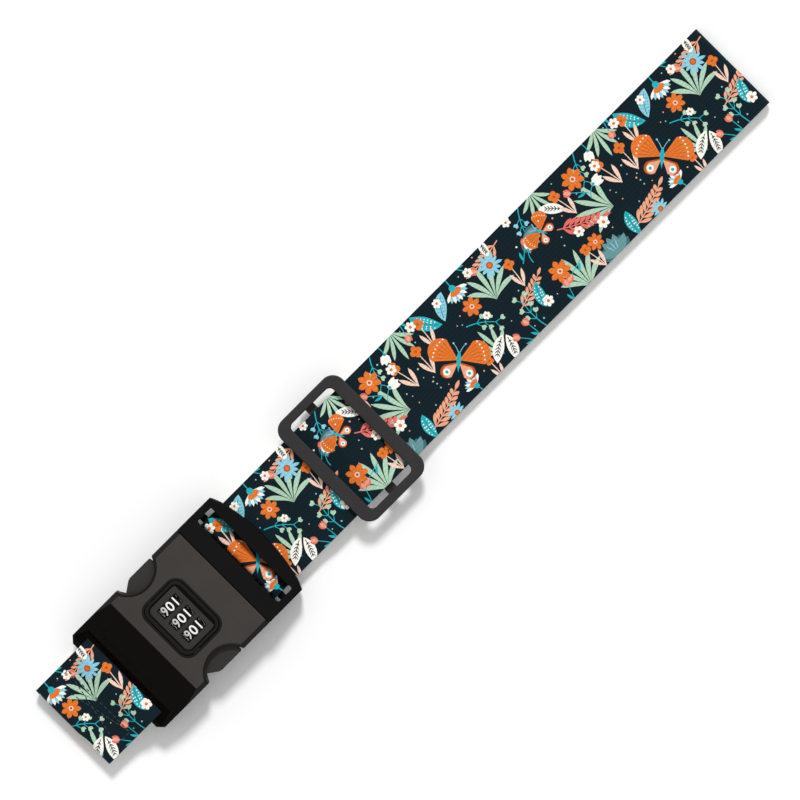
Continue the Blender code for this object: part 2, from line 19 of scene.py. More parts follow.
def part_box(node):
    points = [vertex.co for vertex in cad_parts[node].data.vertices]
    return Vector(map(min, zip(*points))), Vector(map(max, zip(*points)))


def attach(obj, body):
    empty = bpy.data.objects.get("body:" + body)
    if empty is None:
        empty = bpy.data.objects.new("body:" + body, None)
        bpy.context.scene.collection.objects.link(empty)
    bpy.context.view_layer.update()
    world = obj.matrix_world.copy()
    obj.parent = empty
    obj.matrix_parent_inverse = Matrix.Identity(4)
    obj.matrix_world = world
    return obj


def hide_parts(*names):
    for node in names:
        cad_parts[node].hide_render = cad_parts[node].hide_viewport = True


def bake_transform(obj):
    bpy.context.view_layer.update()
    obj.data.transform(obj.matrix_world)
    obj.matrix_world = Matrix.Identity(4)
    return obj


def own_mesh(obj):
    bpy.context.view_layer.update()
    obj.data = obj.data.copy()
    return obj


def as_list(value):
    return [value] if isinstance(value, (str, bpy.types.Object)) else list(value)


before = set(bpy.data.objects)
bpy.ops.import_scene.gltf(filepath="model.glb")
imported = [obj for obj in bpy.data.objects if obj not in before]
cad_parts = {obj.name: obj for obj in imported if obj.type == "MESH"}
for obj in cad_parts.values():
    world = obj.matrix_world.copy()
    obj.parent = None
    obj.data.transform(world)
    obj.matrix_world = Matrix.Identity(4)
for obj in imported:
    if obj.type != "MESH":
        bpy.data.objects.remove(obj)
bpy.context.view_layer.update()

MM = 0.001
GAP = 0.3

# ---------------------------------------------------------------- the print

REPEAT = 138.5  # length of one repeat of the print
HALF_WEB = 25.0
SELVEDGE = 0.6  # width of the thinner edge
STRAIGHT = 0.05  # a point nearer than this to its neighbours' line is left out
SEEDS = 34  # the most seeds in one repeat
SEED_ROOM = 1.5  # bare ground round each seed
GIVE_UP = 0.0004  # chance of stopping at a seed that finds no room

INKS = {
    "ground": (0.0045, 0.0140, 0.0200),
    "orange": (0.740, 0.175, 0.028),
    "rust": (0.510, 0.088, 0.010),
    "coral": (0.760, 0.160, 0.130),
    "peach": (0.820, 0.370, 0.230),
    "blush": (0.900, 0.620, 0.500),
    "sage": (0.420, 0.620, 0.460),
    "teal": (0.020, 0.420, 0.470),
    "sky": (0.260, 0.600, 0.720),
    "slate": (0.135, 0.290, 0.310),
    "deep": (0.050, 0.150, 0.175),
    "cream": (0.950, 0.920, 0.850),
    "back": (0.800, 0.790, 0.760),
}


def polar(length, degrees):
    turn = math.radians(degrees)
    return Vector((length * math.cos(turn), length * math.sin(turn)))


class Drawing:
    """Flat shapes in the order they are printed: each is an outline and its ink."""

    def __init__(self):
        self.shapes = []

    def add(self, outline, ink):
        """Keeps an outline anticlockwise, without the points that all but lie on a straight line."""
        outline = [Vector(p) for p in outline]
        points = []
        for point, after in zip(outline, outline[1:] + outline[:1]):
            before = points[-1] if points else outline[-1]
            chord = after - before
            away = abs(chord.x * (point.y - before.y) - chord.y * (point.x - before.x))
            if away > STRAIGHT * chord.length:
                points.append(point)
        area = sum(a.x * b.y - b.x * a.y for a, b in zip(points, points[1:] + points[:1]))
        self.shapes.append((points if area > 0 else points[::-1], ink))

    def leaf(self, base, heading, length, width, ink, lean=0.0, fullest=0.5, steps=6):
        """A pointed leaf that curves by lean degrees. fullest is where it is widest, from 0 to 1."""
        point = Vector(base)
        spine = [point.copy()]
        for k in range(steps):
            point = point + polar(length / steps, heading + lean * (k + 0.5) / steps)
            spine.append(point.copy())
        power = math.log(0.5) / math.log(fullest)
        left, right = [], []
        for k in range(1, steps):
            t = k / steps
            half = width / 2 * math.sin(math.pi * t**power) ** 0.8
            side = polar(half, heading + lean * t + 90)
            left.append(spine[k] + side)
            right.append(spine[k] - side)
        self.add([spine[0], *right, spine[-1], *reversed(left)], ink)
        return spine

    def stem(self, points, width, ink):
        """A thin line through points, a little wider at its start."""
        points = [Vector(p) for p in points]
        left, right = [], []
        for k, p in enumerate(points):
            ahead = points[min(k + 1, len(points) - 1)] - points[max(k - 1, 0)]
            side = Vector((-ahead.y, ahead.x)).normalized() * width * (0.5 - 0.2 * k / len(points))
            left.append(p + side)
            right.append(p - side)
        self.add(right + left[::-1], ink)

    def curve(self, start, heading, length, bend, width, ink, steps=7):
        """A stem that starts in a direction and bends by so many degrees. Gives its points."""
        points = [Vector(start)]
        for k in range(steps):
            points.append(points[-1] + polar(length / steps, heading + bend * (k + 0.5) / steps))
        self.stem(points, width, ink)
        return points

    def spot(self, centre, radius, ink, sides=8):
        centre = Vector(centre)
        self.add([centre + polar(radius, 360 * k / sides) for k in range(sides)], ink)

    def blossom(self, centre, petals, radius, width, ink, eye, eye_radius, turn=0.0, blunt=0.62):
        """Petals round an eye. A blunt petal is widest near its tip."""
        for k in range(petals):
            self.leaf(centre, turn + 360 * k / petals, radius, width, ink, 0, blunt, 7)
        self.spot(centre, eye_radius, eye, 10)

    # motifs

    def posy(self, foot, heading, size, turn=0.0, bend=8.0):
        """A small four-petalled flower on a pale stem with two pale leaves."""
        points = self.curve(foot, heading, 15 * size, bend, 0.55, "blush")
        self.leaf(points[0], heading + 26, 10.5 * size, 2.1 * size, "blush", -10, 0.6, 5)
        self.leaf(points[0], heading - 26, 10.5 * size, 2.1 * size, "blush", 10, 0.6, 5)
        for k in range(4):
            self.spot(points[-1] + polar(1.75 * size, turn + 45 + 90 * k), 1.62 * size, "orange", 10)
        self.spot(points[-1], 0.8 * size, "rust", 8)

    def daisy(self, centre, size, turn=0.0):
        self.blossom(centre, 6, 3.5 * size, 2.3 * size, "cream", "orange", 0.95 * size, turn, 0.66)

    def aster(self, centre, size, turn=0.0):
        for k in range(12):
            self.leaf(centre, turn + 30 * k, (7.4 if k % 2 else 6.2) * size, 1.9 * size, "sky", 0, 0.6, 5)
        self.spot(centre, 1.9 * size, "rust", 12)
        self.spot(centre, 1.1 * size, "orange", 10)

    def cosmos(self, centre, size, turn=0.0):
        """A seven-petalled orange flower."""
        self.blossom(centre, 7, 6.2 * size, 3.2 * size, "orange", "blush", 1.5 * size, turn, 0.64)
        self.spot(centre, 0.8 * size, "rust", 8)

    def frond(self, foot, heading, size, spread=86.0, count=6):
        """Long sage leaves that fan out from one foot."""
        for k in range(count):
            share = k / (count - 1) - 0.5
            reach = (21 - 11 * abs(share)) * size
            fan = spread * share
            self.leaf(foot, heading + fan * 0.7, reach, 2.5 * size, "sage", fan * 0.75, 0.64, 9)

    def fern(self, foot, heading, size, bend=18.0, pairs=7, ink="peach"):
        """A branch with leaves in pairs that grow smaller towards its tip."""
        points = self.curve(foot, heading, 30 * size, bend, 0.75 * size, ink, pairs + 2)
        for k in range(1, pairs + 1):
            grown = (8.6 - 0.62 * k) * size
            course = heading + bend * k / (pairs + 1)
            for side in (-1, 1):
                self.leaf(points[k], course + side * 42, grown, 2.15 * size, ink, -side * 12, 0.6, 5)
        self.leaf(points[-2], heading + bend, 6.0 * size, 2.1 * size, ink)

    def sprig(self, foot, heading, size, bend=-20.0, ink="teal", tip="sage"):
        """A fine stem with heart-shaped leaves in pairs."""
        points = self.curve(foot, heading, 20 * size, bend, 0.55, ink, 8)
        for k in (3, 5, 8):
            course = heading + bend * k / 8
            for side in (-1, 1):
                arm = self.curve(points[k], course + side * 52, 3.6 * size, -side * 20, 0.42, ink, 3)
                for lobe in (-1, 1):
                    self.leaf(arm[-1], course + side * 42 + lobe * 20, 3.5 * size, 2.1 * size, tip, 0, 0.6, 4)

    def dotted_leaf(self, foot, heading, size, lean, ink="teal", dots="cream"):
        """A broad leaf with rows of dots either side of its rib."""
        spine = self.leaf(foot, heading, 17 * size, 6.8 * size, ink, lean, 0.52, 9)
        for k in range(2, 9):
            course = heading + lean * k / 9
            wide = 6.8 * size / 2 * math.sin(math.pi * k / 9)
            for side in (-1, 1):
                for row in (0.3, 0.64):
                    if wide * row > 0.75:
                        place = spine[k] + polar(wide * row, course + 90 * side)
                        self.spot(place, 0.34, dots, 6)
        self.stem(spine[1:-1], 0.4, "deep")

    def paired_leaf(self, foot, heading, size, lean):
        """A large pale leaf with dark veins."""
        spine = self.leaf(foot, heading, 15 * size, 5.8 * size, "cream", lean, 0.5, 9)
        self.stem(spine[1:-2], 0.42, "ground")
        for k in range(2, 7):
            course = heading + lean * k / 9
            for side in (-1, 1):
                reach = 6.0 * size / 2 * math.sin(math.pi * k / 9) * 0.9
                self.leaf(spine[k], course + side * 38, reach, 0.5, "ground", 0, 0.4, 3)

    def tulip(self, foot, heading, size, bend=10.0):
        """A bud of three petals on a teal stem."""
        points = self.curve(foot, heading, 10 * size, bend, 0.5, "teal", 6)
        course = heading + bend
        self.leaf(points[1], course + 35, 5.5 * size, 1.5 * size, "teal", -16)
        for side in (-1, 1):
            self.leaf(points[-1], course + side * 27, 4.9 * size, 2.7 * size, "coral", -side * 22, 0.5)
        self.leaf(points[-1], course, 4.7 * size, 2.3 * size, "peach", 0, 0.5)

    def bell(self, foot, heading, size):
        """A hanging bell flower with a toothed rim."""
        points = self.curve(foot, heading, 8.5 * size, -46, 0.5, "teal", 6)
        course = heading - 62
        cup = points[-1]
        outline = [cup + polar(0.6 * size, course + 110)]
        half_rim = ((66, 3.0), (38, 5.2), (25, 6.6), (13, 5.3))
        rim = (*half_rim, (0, 6.9), *((-degrees, reach) for degrees, reach in half_rim[::-1]))
        for degrees, reach in rim:
            outline.append(cup + polar(reach * size, course + degrees))
        outline.append(cup + polar(0.6 * size, course - 110))
        self.add(outline, "cream")
        self.spot(cup, 0.95 * size, "teal", 8)

    def lotus(self, foot, heading, size):
        """A fan of slate petals, the back ones darker."""
        for degrees in (-64, 64, -38, 38):
            self.leaf(foot, heading + degrees, 9.5 * size, 4.4 * size, "deep", 0, 0.56)
        for degrees in (-50, 50, -20, 20, 0):
            self.leaf(foot, heading + degrees, 10.5 * size, 3.9 * size, "slate", 0, 0.56)
        for degrees in (-20, 20, 0):
            course = heading + degrees
            self.leaf(Vector(foot) + polar(3 * size, course), course, 5.0 * size, 0.5, "sky", 0, 0.5, 4)

    def thistle(self, foot, heading, size):
        """A round half flower with a fringe."""
        points = self.curve(foot, heading, 9 * size, 8, 0.6, "teal", 6)
        course, cup = heading + 8, points[-1]
        for k in range(9):
            ink = "sky" if k % 2 else "cream"
            self.leaf(cup, course - 60 + 15 * k, 8.4 * size, 1.9 * size, ink, 0, 0.72, 5)
        for k in range(7):
            self.leaf(cup, course - 48 + 16 * k, 5.2 * size, 1.6 * size, "orange", 0, 0.66, 4)
        self.spot(cup, 1.9 * size, "teal", 10)

    def butterfly(self, centre, heading, size):
        """A plain butterfly seen from above: heading is where its head points."""
        centre = Vector(centre)
        turn = Matrix.Rotation(math.radians(heading - 90), 2)

        def place(side, x, y):
            return centre + turn @ Vector((side * x * size, y * size))

        def spread(side, points, ink):
            self.add([place(side, x, y) for x, y in points], ink)

        def wing(reach, lobe, drop, steps=14):
            """A rounded wing between two directions, as points from its root and back."""
            points = [(0.3, drop)]
            for k in range(steps + 1):
                t = k / steps
                length = reach * (0.55 + 0.45 * math.sin(math.pi * (0.12 + 0.82 * t)) ** lobe[2])
                a = math.radians(lobe[0] + (lobe[1] - lobe[0]) * t)
                points.append((length * math.cos(a), drop + length * math.sin(a)))
            return points

        for side in (-1, 1):
            lower = wing(10.5, (-66, -14, 0.7), -0.6)
            spread(side, lower, "rust")
            spread(side, [(0.25 + x * 0.84, -0.9 + y * 0.86) for x, y in lower], "peach")
            upper = wing(16.0, (-6, 56, 0.6), 0.4)
            spread(side, upper, "orange")
            for k in range(5):
                a = math.radians(2 + 11 * k)
                x, y = 11.2 * math.cos(a), 0.4 + 11.2 * math.sin(a)
                spread(side, [(1.0, 0.8), (x + 0.12, y - 0.2), (x - 0.12, y + 0.2)], "rust")
            for k in range(6):
                a = math.radians(4 + 9 * k)
                self.spot(place(side, 12.6 * math.cos(a), 0.4 + 12.6 * math.sin(a)), 0.42 * size, "cream", 6)
            eye = place(side, 5.4, -5.6)
            self.spot(eye, 1.75 * size, "cream", 12)
            self.spot(eye, 0.85 * size, "teal", 8)
        front = polar(1, heading)
        for side in (-1, 1):
            root = centre + front * 3.0 * size
            feeler = self.curve(root, heading + side * 16, 6.2 * size, side * 26, 0.36, "sky", 5)
            self.spot(feeler[-1], 0.5 * size, "sky", 6)
        self.leaf(centre - front * 5.6 * size, heading, 10.4 * size, 2.3 * size, "teal", 0, 0.62, 9)


def draw_print():
    """One repeat of the print: x from 0 to REPEAT, y from edge to edge. A shape may run over either end."""
    d = Drawing()
    for x, y, heading, size, spread, count in (
        (17, -7, 140, 0.98, 110, 6), (84, 1, 70, 0.95, 112, 6), (121, -27, 84, 1.0, 100, 6),
        (36, 27, 262, 0.8, 90, 5), (68, -20, 96, 0.8, 90, 5), (131, 27, 262, 0.72, 90, 5),
    ):
        d.frond((x, y), heading, size, spread, count)
    d.fern((17, -22), 10, 0.86, 14, 7)
    d.fern((104, 21), 194, 0.74, -14, 6)
    d.fern((128, 4), -32, 0.84, 10, 7, "coral")
    d.fern((88, -11), 14, 0.72, 12, 6)
    d.dotted_leaf((57, 11), 146, 1.0, -44)
    d.dotted_leaf((59, 11), 74, 0.86, -40, "sky", "teal")
    d.dotted_leaf((103, -6), 236, 0.8, 30)
    d.dotted_leaf((17, -26), 96, 0.8, -30)
    d.paired_leaf((74, -13), 200, 0.95, 30)
    d.paired_leaf((75, -14), 262, 0.9, -24)
    d.paired_leaf((138, 8), 126, 0.9, 20)
    d.paired_leaf((98, 28), 250, 0.7, 20)
    d.sprig((92, -25), 104, 0.8, -26)
    d.sprig((21, 25), 236, 0.75, 24)
    d.sprig((122, 25), 232, 0.72, 24, "teal", "sky")
    d.sprig((64, 2), -20, 0.74, -30)
    d.lotus((3, -26), 88, 1.0)
    d.lotus((114, 13), 300, 0.82)
    d.thistle((73, 28), 262, 0.9)
    d.thistle((49, -28), 96, 0.72)
    for x, y, heading, size, turn in (
        (28, -2, 98, 0.98, 10), (38, -3, 84, 0.92, 40), (2, 3, 96, 0.9, 20),
        (60, -28, 84, 0.72, 0), (98, -4, 78, 0.86, 25), (133, -25, 96, 0.85, 15), (47, 6, 80, 0.9, 20),
    ):
        d.posy((x, y), heading, size, turn)
    for x, y, heading in (
        (84, -27, 122), (87, -27, 90), (110, -27, 66), (43, 28, 250),
        (105, 4, 36), (13, 6, 132), (126, -14, 190), (79, 27, 300),
    ):
        d.tulip((x, y), heading, 0.85)
    for x, y, heading, size in (
        (12, 3, 62, 0.85), (109, 1, 92, 0.8), (66, -8, 238, 0.75), (26, 27, 300, 0.8),
    ):
        d.bell((x, y), heading, size)
    d.aster((93, 15), 0.92, 10)
    d.aster((32, -24), 0.72, 4)
    d.cosmos((12, 16), 0.95, 12)
    d.cosmos((115, -11), 0.92, 30)
    d.cosmos((73, 7), 0.8, 5)
    d.cosmos((137, -13), 0.7, 5)
    for x, y, size, turn in (
        (8, -9, 0.9, 10), (45, 21, 0.8, 24), (101, -17, 0.85, 3), (83, 20, 0.72, 12), (135, -4, 0.8, 30),
        (24, 13, 0.8, 6), (62, 20, 0.7, 16), (113, 24, 0.72, 20), (75, -1, 0.6, 9),
    ):
        d.daisy((x, y), size, turn)
    d.butterfly((50, -7), 42, 1.0)
    d.butterfly((122, 9), 118, 0.62)
    scatter_seeds(d)
    return d


def scatter_seeds(d):
    """Tiny dots in the bare ground between the motifs."""
    dice = random.Random(7)
    filled = [p for outline, ink in d.shapes for p in outline]
    made = []
    while len(made) < SEEDS:
        seed = Vector((dice.uniform(0, REPEAT), dice.uniform(-24, 24)))
        near = min((seed - p).length for p in filled + made)
        if near > SEED_ROOM:
            made.append(seed)
        elif dice.random() < GIVE_UP:
            break
    for seed in made:
        d.spot(seed, dice.uniform(0.3, 0.5), dice.choice(("peach", "sage", "sky", "cream")), 6)


# ---------------------------------------------------------------- webbing

WEB_THICK = 1.2
TOP_HALF = WEB_THICK / 2
EDGE_HALF = 0.36  # half the thickness at the very edge
SAME = 0.0005  # points nearer than this are one point


def print_cells():
    """The print as flat convex pieces, (points, ink), over one repeat. Shapes printed later lie on top."""
    drawing = draw_print()
    corners, outlines, edges, inks = [], [], [], []

    def add(points, ink):
        first = len(corners)
        corners.extend(points)
        outlines.append(list(range(first, first + len(points))))
        inks.append(ink)

    add([(0, -HALF_WEB), (REPEAT, -HALF_WEB), (REPEAT, HALF_WEB), (0, HALF_WEB)], "ground")
    for outline, ink in drawing.shapes:
        low = min(p.x for p in outline)
        high = max(p.x for p in outline)
        for shift in (-REPEAT, 0, REPEAT):
            if high + shift > 0 and low + shift < REPEAT:
                add([(p.x + shift, p.y) for p in outline], ink)
    for side in (-1, 1):
        first = len(corners)
        corners.extend([(0, side * (HALF_WEB - SELVEDGE)), (REPEAT, side * (HALF_WEB - SELVEDGE))])
        edges.append((first, first + 1))
    places = [Vector(c) for c in corners]
    points, _, faces, _, _, sources = delaunay_2d_cdt(places, edges, outlines, 0, 0.002, True)
    cells = []
    for face, source in zip(faces, sources):
        if 0 in source:
            cells.append(([(round(points[i].x, 4), round(points[i].y, 4)) for i in face], inks[max(source)]))
    return cells


def split_at(points, place):
    """Splits a convex outline of (u, v) points at u = place and gives both parts."""
    before, after = [], []
    for here, there in zip(points, points[1:] + points[:1]):
        side, other = here[0] - place, there[0] - place
        if side <= 0:
            before.append(here)
        if side >= 0:
            after.append(here)
        if side * other < 0:
            first, last = sorted((here, there))
            share = (place - first[0]) / (last[0] - first[0])
            crossing = (place, first[1] + share * (last[1] - first[1]))
            before.append(crossing)
            after.append(crossing)
    return before, after


class Strip:
    """A length of webbing that follows a line of (x, z) points, its print starting at a given place."""

    def __init__(self, line, start):
        self.line = line
        self.at = [start]
        for a, b in zip(line, line[1:]):
            self.at.append(self.at[-1] + (b - a).length)
        self.sides = []
        for i, point in enumerate(line):
            before = (point - line[i - 1]).normalized() if i else None
            after = (line[i + 1] - point).normalized() if i + 1 < len(line) else None
            ahead = (before + after).normalized() if before and after else before or after
            self.sides.append(Vector((ahead.y, -ahead.x)) / max(0.5, ahead.dot(after or before)))

    @property
    def length(self):
        return self.at[-1] - self.at[0]

    def point(self, u, v, height):
        """A place on the strip. Height is measured from its middle to the printed side."""
        i = min(max(bisect_left(self.at, u) - 1, 0), len(self.line) - 2)
        share = (u - self.at[i]) / (self.at[i + 1] - self.at[i])
        middle = self.line[i].lerp(self.line[i + 1], share)
        side = self.sides[i].lerp(self.sides[i + 1], share)
        return Vector((middle.x + side.x * height, v, middle.y + side.y * height)) * MM

    def cells(self, repeat):
        """The print's pieces over this strip, cut at its ends and at each bend."""
        made = []
        cuts = self.at
        for k in range(math.floor(cuts[0] / REPEAT), math.floor(cuts[-1] / REPEAT) + 1):
            for outline, ink in repeat:
                points = [(self.snap(REPEAT * (k + 1) - x), y) for x, y in outline]
                low = min(p[0] for p in points)
                high = max(p[0] for p in points)
                if high <= cuts[0] or low >= cuts[-1]:
                    continue
                for cut in cuts[bisect_left(cuts, low):bisect_left(cuts, high) + 1]:
                    if not low < cut < high:
                        continue
                    part, points = split_at(points, cut)
                    if cut > cuts[0] and len(part) > 2:
                        made.append((part, ink))
                if points and max(p[0] for p in points) <= cuts[-1] and len(points) > 2:
                    made.append((points, ink))
        return made

    def snap(self, u):
        """Moves a place that is all but on a bend onto it."""
        i = bisect_left(self.at, u - SAME)
        return self.at[i] if i < len(self.at) and abs(self.at[i] - u) < SAME else u


def lay_webbing(name, strip, repeat, look):
    """A closed strip of webbing: printed side in the print's own pieces, plain back and edges."""
    bm = bmesh.new()
    ink_layer = bm.loops.layers.float_color.new("ink")
    uv_layer = bm.loops.layers.uv.new("lay")
    inner = HALF_WEB - SELVEDGE
    found, places = {}, {}

    def corner(u, v, height):
        key = (round(u, 3), round(v, 3), height)
        if key not in found:
            found[key] = bm.verts.new(strip.point(u, v, height))
            places[found[key]] = (u, v)
        return found[key]

    def face(corners, ink):
        ring = [c for i, c in enumerate(corners) if c is not corners[i - 1]]
        if len(set(ring)) < 3 or len(set(ring)) < len(ring):
            return
        try:
            made = bm.faces.new(ring)
        except ValueError:
            return
        for loop in made.loops:
            loop[ink_layer] = (*INKS[ink], 1)
            loop[uv_layer].uv = (places[loop.vert][0] * MM, places[loop.vert][1] * MM)
        made.smooth = True

    for points, ink in strip.cells(repeat):
        ring = [corner(u, v, EDGE_HALF if abs(v) > HALF_WEB - SAME else TOP_HALF) for u, v in points]
        area = sum(a[0] * b[1] - b[0] * a[1] for a, b in zip(points, points[1:] + points[:1]))
        face(ring[::-1] if area > 0 else ring, ink)

    rims = {side: sorted(u for (u, v, h) in found if round(v, 3) == side * HALF_WEB) for side in (-1, 1)}
    for side in (-1, 1):
        edge = side * HALF_WEB
        chain = rims[side]
        for a, b in zip(chain, chain[1:]):
            around = ((a, EDGE_HALF), (b, EDGE_HALF), (b, -EDGE_HALF), (a, -EDGE_HALF))
            quad = [corner(u, edge, h) for u, h in around]
            face(quad if side > 0 else quad[::-1], "back")
    for a, b in zip(strip.at, strip.at[1:]):
        plain = [corner(u, v, -TOP_HALF) for u, v in ((a, inner), (b, inner), (b, -inner), (a, -inner))]
        face(plain[::-1], "back")
        for side in (-1, 1):
            edge = side * HALF_WEB
            chain = [corner(u, edge, -EDGE_HALF) for u in rims[side] if a - SAME <= u <= b + SAME]
            ring = chain + [corner(b, side * inner, -TOP_HALF), corner(a, side * inner, -TOP_HALF)]
            face(ring if side > 0 else ring[::-1], "back")
    for end, first in ((strip.at[0], True), (strip.at[-1], False)):
        top = sorted((v, h) for (u, v, h) in found if abs(u - round(end, 3)) < SAME and h > 0)
        ring = [corner(end, v, h) for v, h in top]
        ring += [corner(end, v, h) for v, h in
                 ((HALF_WEB, -EDGE_HALF), (inner, -TOP_HALF), (-inner, -TOP_HALF), (-HALF_WEB, -EDGE_HALF))]
        face(ring if first else ring[::-1], "back")
    bmesh.ops.recalc_face_normals(bm, faces=bm.faces)
    mesh = bpy.data.meshes.new(name)
    bm.to_mesh(mesh)
    bm.free()
    piece = bpy.data.objects.new(name, mesh)
    bpy.context.scene.collection.objects.link(piece)
    mesh.materials.append(look)
    mesh.set_sharp_from_angle(angle=math.radians(38))
    return piece


# ---------------------------------------------------------------- where the webbing runs

shell_low, shell_high = (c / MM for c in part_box("socket_shell"))
slider_low, slider_high = (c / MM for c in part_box("slider_frame"))
bezel_low, bezel_high = (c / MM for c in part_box("dial_bezel"))
folded_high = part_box("webbing_long_run")[1] / MM
bridge_low, bridge_high = (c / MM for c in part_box("webbing_bridge"))

PLY = WEB_THICK + GAP
DECK = 3 * PLY
TOP_PLY = DECK + TOP_HALF
HALF_LENGTH = folded_high.x
FOLD = TOP_HALF + 0.14  # middle radius of the tightest fold
BRIDGE_FROM, BRIDGE_TO = bridge_low.x - GAP / 2, bridge_high.x + GAP / 2
SLIDER_X = (slider_low.x + slider_high.x) / 2
SLIDER_BAR_HALF = 2.7
SLIDER_BAR_TOP = 8.0
SOCKET_BAR = (shell_low.x, shell_low.x + 6.6, 8.6, 12.0)  # x from, x to, z from, z to
PLUG_BAR = (-110.7, -107.2, 6.6, 9.2)
TAIL = TOP_PLY + PLY
LIVE = TAIL + PLY + GAP
CREST = SLIDER_BAR_TOP + 2 * GAP + 1.5 * WEB_THICK


def route(corners, steps=7):
    """A smooth line through corners (x, z, radius): straight runs joined by arcs of that radius."""
    points = [Vector(corners[0][:2])]
    for before, here, after in zip(corners, corners[1:], corners[2:]):
        corner = Vector(here[:2])
        back = (Vector(before[:2]) - corner).normalized()
        ahead = (Vector(after[:2]) - corner).normalized()
        half = back.angle(ahead) / 2
        reach = here[2] / math.tan(half)
        centre = corner + (back + ahead).normalized() * (here[2] / math.sin(half))
        start, end = corner + back * reach, corner + ahead * reach
        turn = (start - centre).angle_signed(end - centre)
        count = max(2, round(steps * abs(turn) / (math.pi / 2)))
        for k in range(count + 1):
            points.append(centre + Matrix.Rotation(-turn * k / count, 2) @ (start - centre))
    points.append(Vector(corners[-1][:2]))
    return points


def folded_route():
    """From the sewn end at the socket, round the folds of the put-away loop, to the top ply."""
    left, right = -HALF_LENGTH + TOP_HALF, HALF_LENGTH - TOP_HALF
    over = SOCKET_BAR[3] + GAP + TOP_HALF
    under = SOCKET_BAR[2] - GAP - TOP_HALF
    loop_x = SOCKET_BAR[1] + 2.1
    third, second, first = (DECK - PLY * n - 0.15 for n in (0.5, 1.5, 2.5))
    turn_up = (TOP_PLY - first) / 2 - 0.01
    return [
        (-217.5, 7.0, 0),
        (-205.0, 8.0, 4),
        (-198.0, under, 4),
        (loop_x, under, 2.2),
        (loop_x, over, 2.4),
        (-197.0, over, 3),
        (-204.5, 9.7, 6),
        (-212.0, 8.8, 12),
        (left, 8.4, 2.35),
        (left, third, 2.35),
        (right - 2.4, third, FOLD),
        (right - 2.4, second, FOLD),
        (left + 0.7, second, FOLD),
        (left + 0.7, first, FOLD),
        (right, first, turn_up),
        (right, TOP_PLY, turn_up),
        (BRIDGE_TO, TOP_PLY, 0),
    ]


def slider_route():
    """From the top ply up to the crest over the slider's bar."""
    return [
        (BRIDGE_FROM, TOP_PLY, 0),
        (1.0, TOP_PLY, 30),
        (-19.0, 7.9, 20),
        (-31.0, CREST, 6),
        (SLIDER_X, CREST, 0),
    ]


def adjuster_route():
    """From the crest over the slider's bar, through the plug and back, to the end sewn round that bar."""
    over_plug = PLUG_BAR[3] + GAP + TOP_HALF
    round_plug = PLUG_BAR[0] - GAP - TOP_HALF
    over_bar = SLIDER_BAR_TOP + GAP + TOP_HALF
    loop_x = SLIDER_X + SLIDER_BAR_HALF + GAP + TOP_HALF
    return [
        (SLIDER_X, CREST, 0),
        (-39.5, CREST, 6),
        (-48.5, LIVE, 12),
        (-69.0, LIVE, 14),
        (-80.0, TAIL, 14),
        (-103.2, TAIL, 1.6),
        (-107.0, over_plug, 2.0),
        (round_plug, over_plug, 1.5),
        (round_plug, TOP_PLY, 1.5),
        (loop_x, TOP_PLY, 1.8),
        (loop_x, over_bar, 1.8),
        (-39.0, over_bar, 5),
        (-45.0, TAIL, 5),
        (-66.0, TAIL, 0),
    ]


def even_steps(line, longest):
    """Adds points so that no stretch is longer than so much."""
    points = [line[0]]
    for a, b in zip(line, line[1:]):
        count = max(1, math.ceil((b - a).length / longest))
        points += [a.lerp(b, k / count) for k in range(1, count + 1)]
    return points


def make_webbing(look):
    """The four stretches of one length of webbing. The print runs on from each to the next."""
    repeat = print_cells()
    folded = Strip(route(folded_route()), 0.0)
    step = (BRIDGE_TO - BRIDGE_FROM) / 12
    bridge = Strip([Vector((BRIDGE_TO - k * step, TOP_PLY)) for k in range(13)], folded.at[-1])
    live = Strip(even_steps(route(slider_route()), 12.0), bridge.at[-1])
    adjuster = Strip(even_steps(route(adjuster_route()), 8.0), live.at[-1])
    places = (
        ("webbing_folded_loop", "webbing_long_run", folded, "folded", []),
        ("webbing_top_stretch", "webbing_bridge", bridge, "laid", ["webbing_folded_loop"]),
        ("webbing_slider_stretch", "webbing_live_run", live, "laid", ["webbing_folded_loop", "slider_frame"]),
        ("webbing_adjuster_stretch", "webbing_adjuster_loop", adjuster, "folded", ["webbing_folded_loop"]),
    )
    for name, node, strip, held, under in places:
        piece = lay_webbing(name, strip, repeat, look)
        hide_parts(node)
        if name == "webbing_folded_loop":
            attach(piece, "socket")
        elif name == "webbing_top_stretch":
            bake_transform(piece)
        elif name == "webbing_slider_stretch":
            start, end = ((SLIDER_X + 8) * MM, 0, 0), (BRIDGE_FROM * MM, 0, 0)
            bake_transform(piece)
            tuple(start)
            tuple(end)
        else:
            start, end = ((PLUG_BAR[1] + 1) * MM, 0, 0), ((SLIDER_X - 4) * MM, 0, 0)
            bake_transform(piece)
            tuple(start)
            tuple(end)
        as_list(under)


# ---------------------------------------------------------------- finishes


class Value:
    """A shader value that can be used in sums."""

    def __init__(self, look, socket):
        self.look = look
        self.socket = socket

    def math(self, operation, *others):
        sockets = {0: self, **{k + 1: other for k, other in enumerate(others)}}
        return self.look.add("Math", {"operation": operation}, sockets)

    def __add__(self, other):
        return self.math("ADD", other)

    def __radd__(self, other):
        return self.math("ADD", other)

    def __sub__(self, other):
        return self.math("SUBTRACT", other)

    def __rsub__(self, other):
        return self.look.add("Math", {"operation": "SUBTRACT"}, {0: other, 1: self})

    def __mul__(self, other):
        return self.math("MULTIPLY", other)

    def sine(self):
        return self.math("SINE")

    def clamped(self):
        return self.look.add("Clamp", {}, {"Value": self})


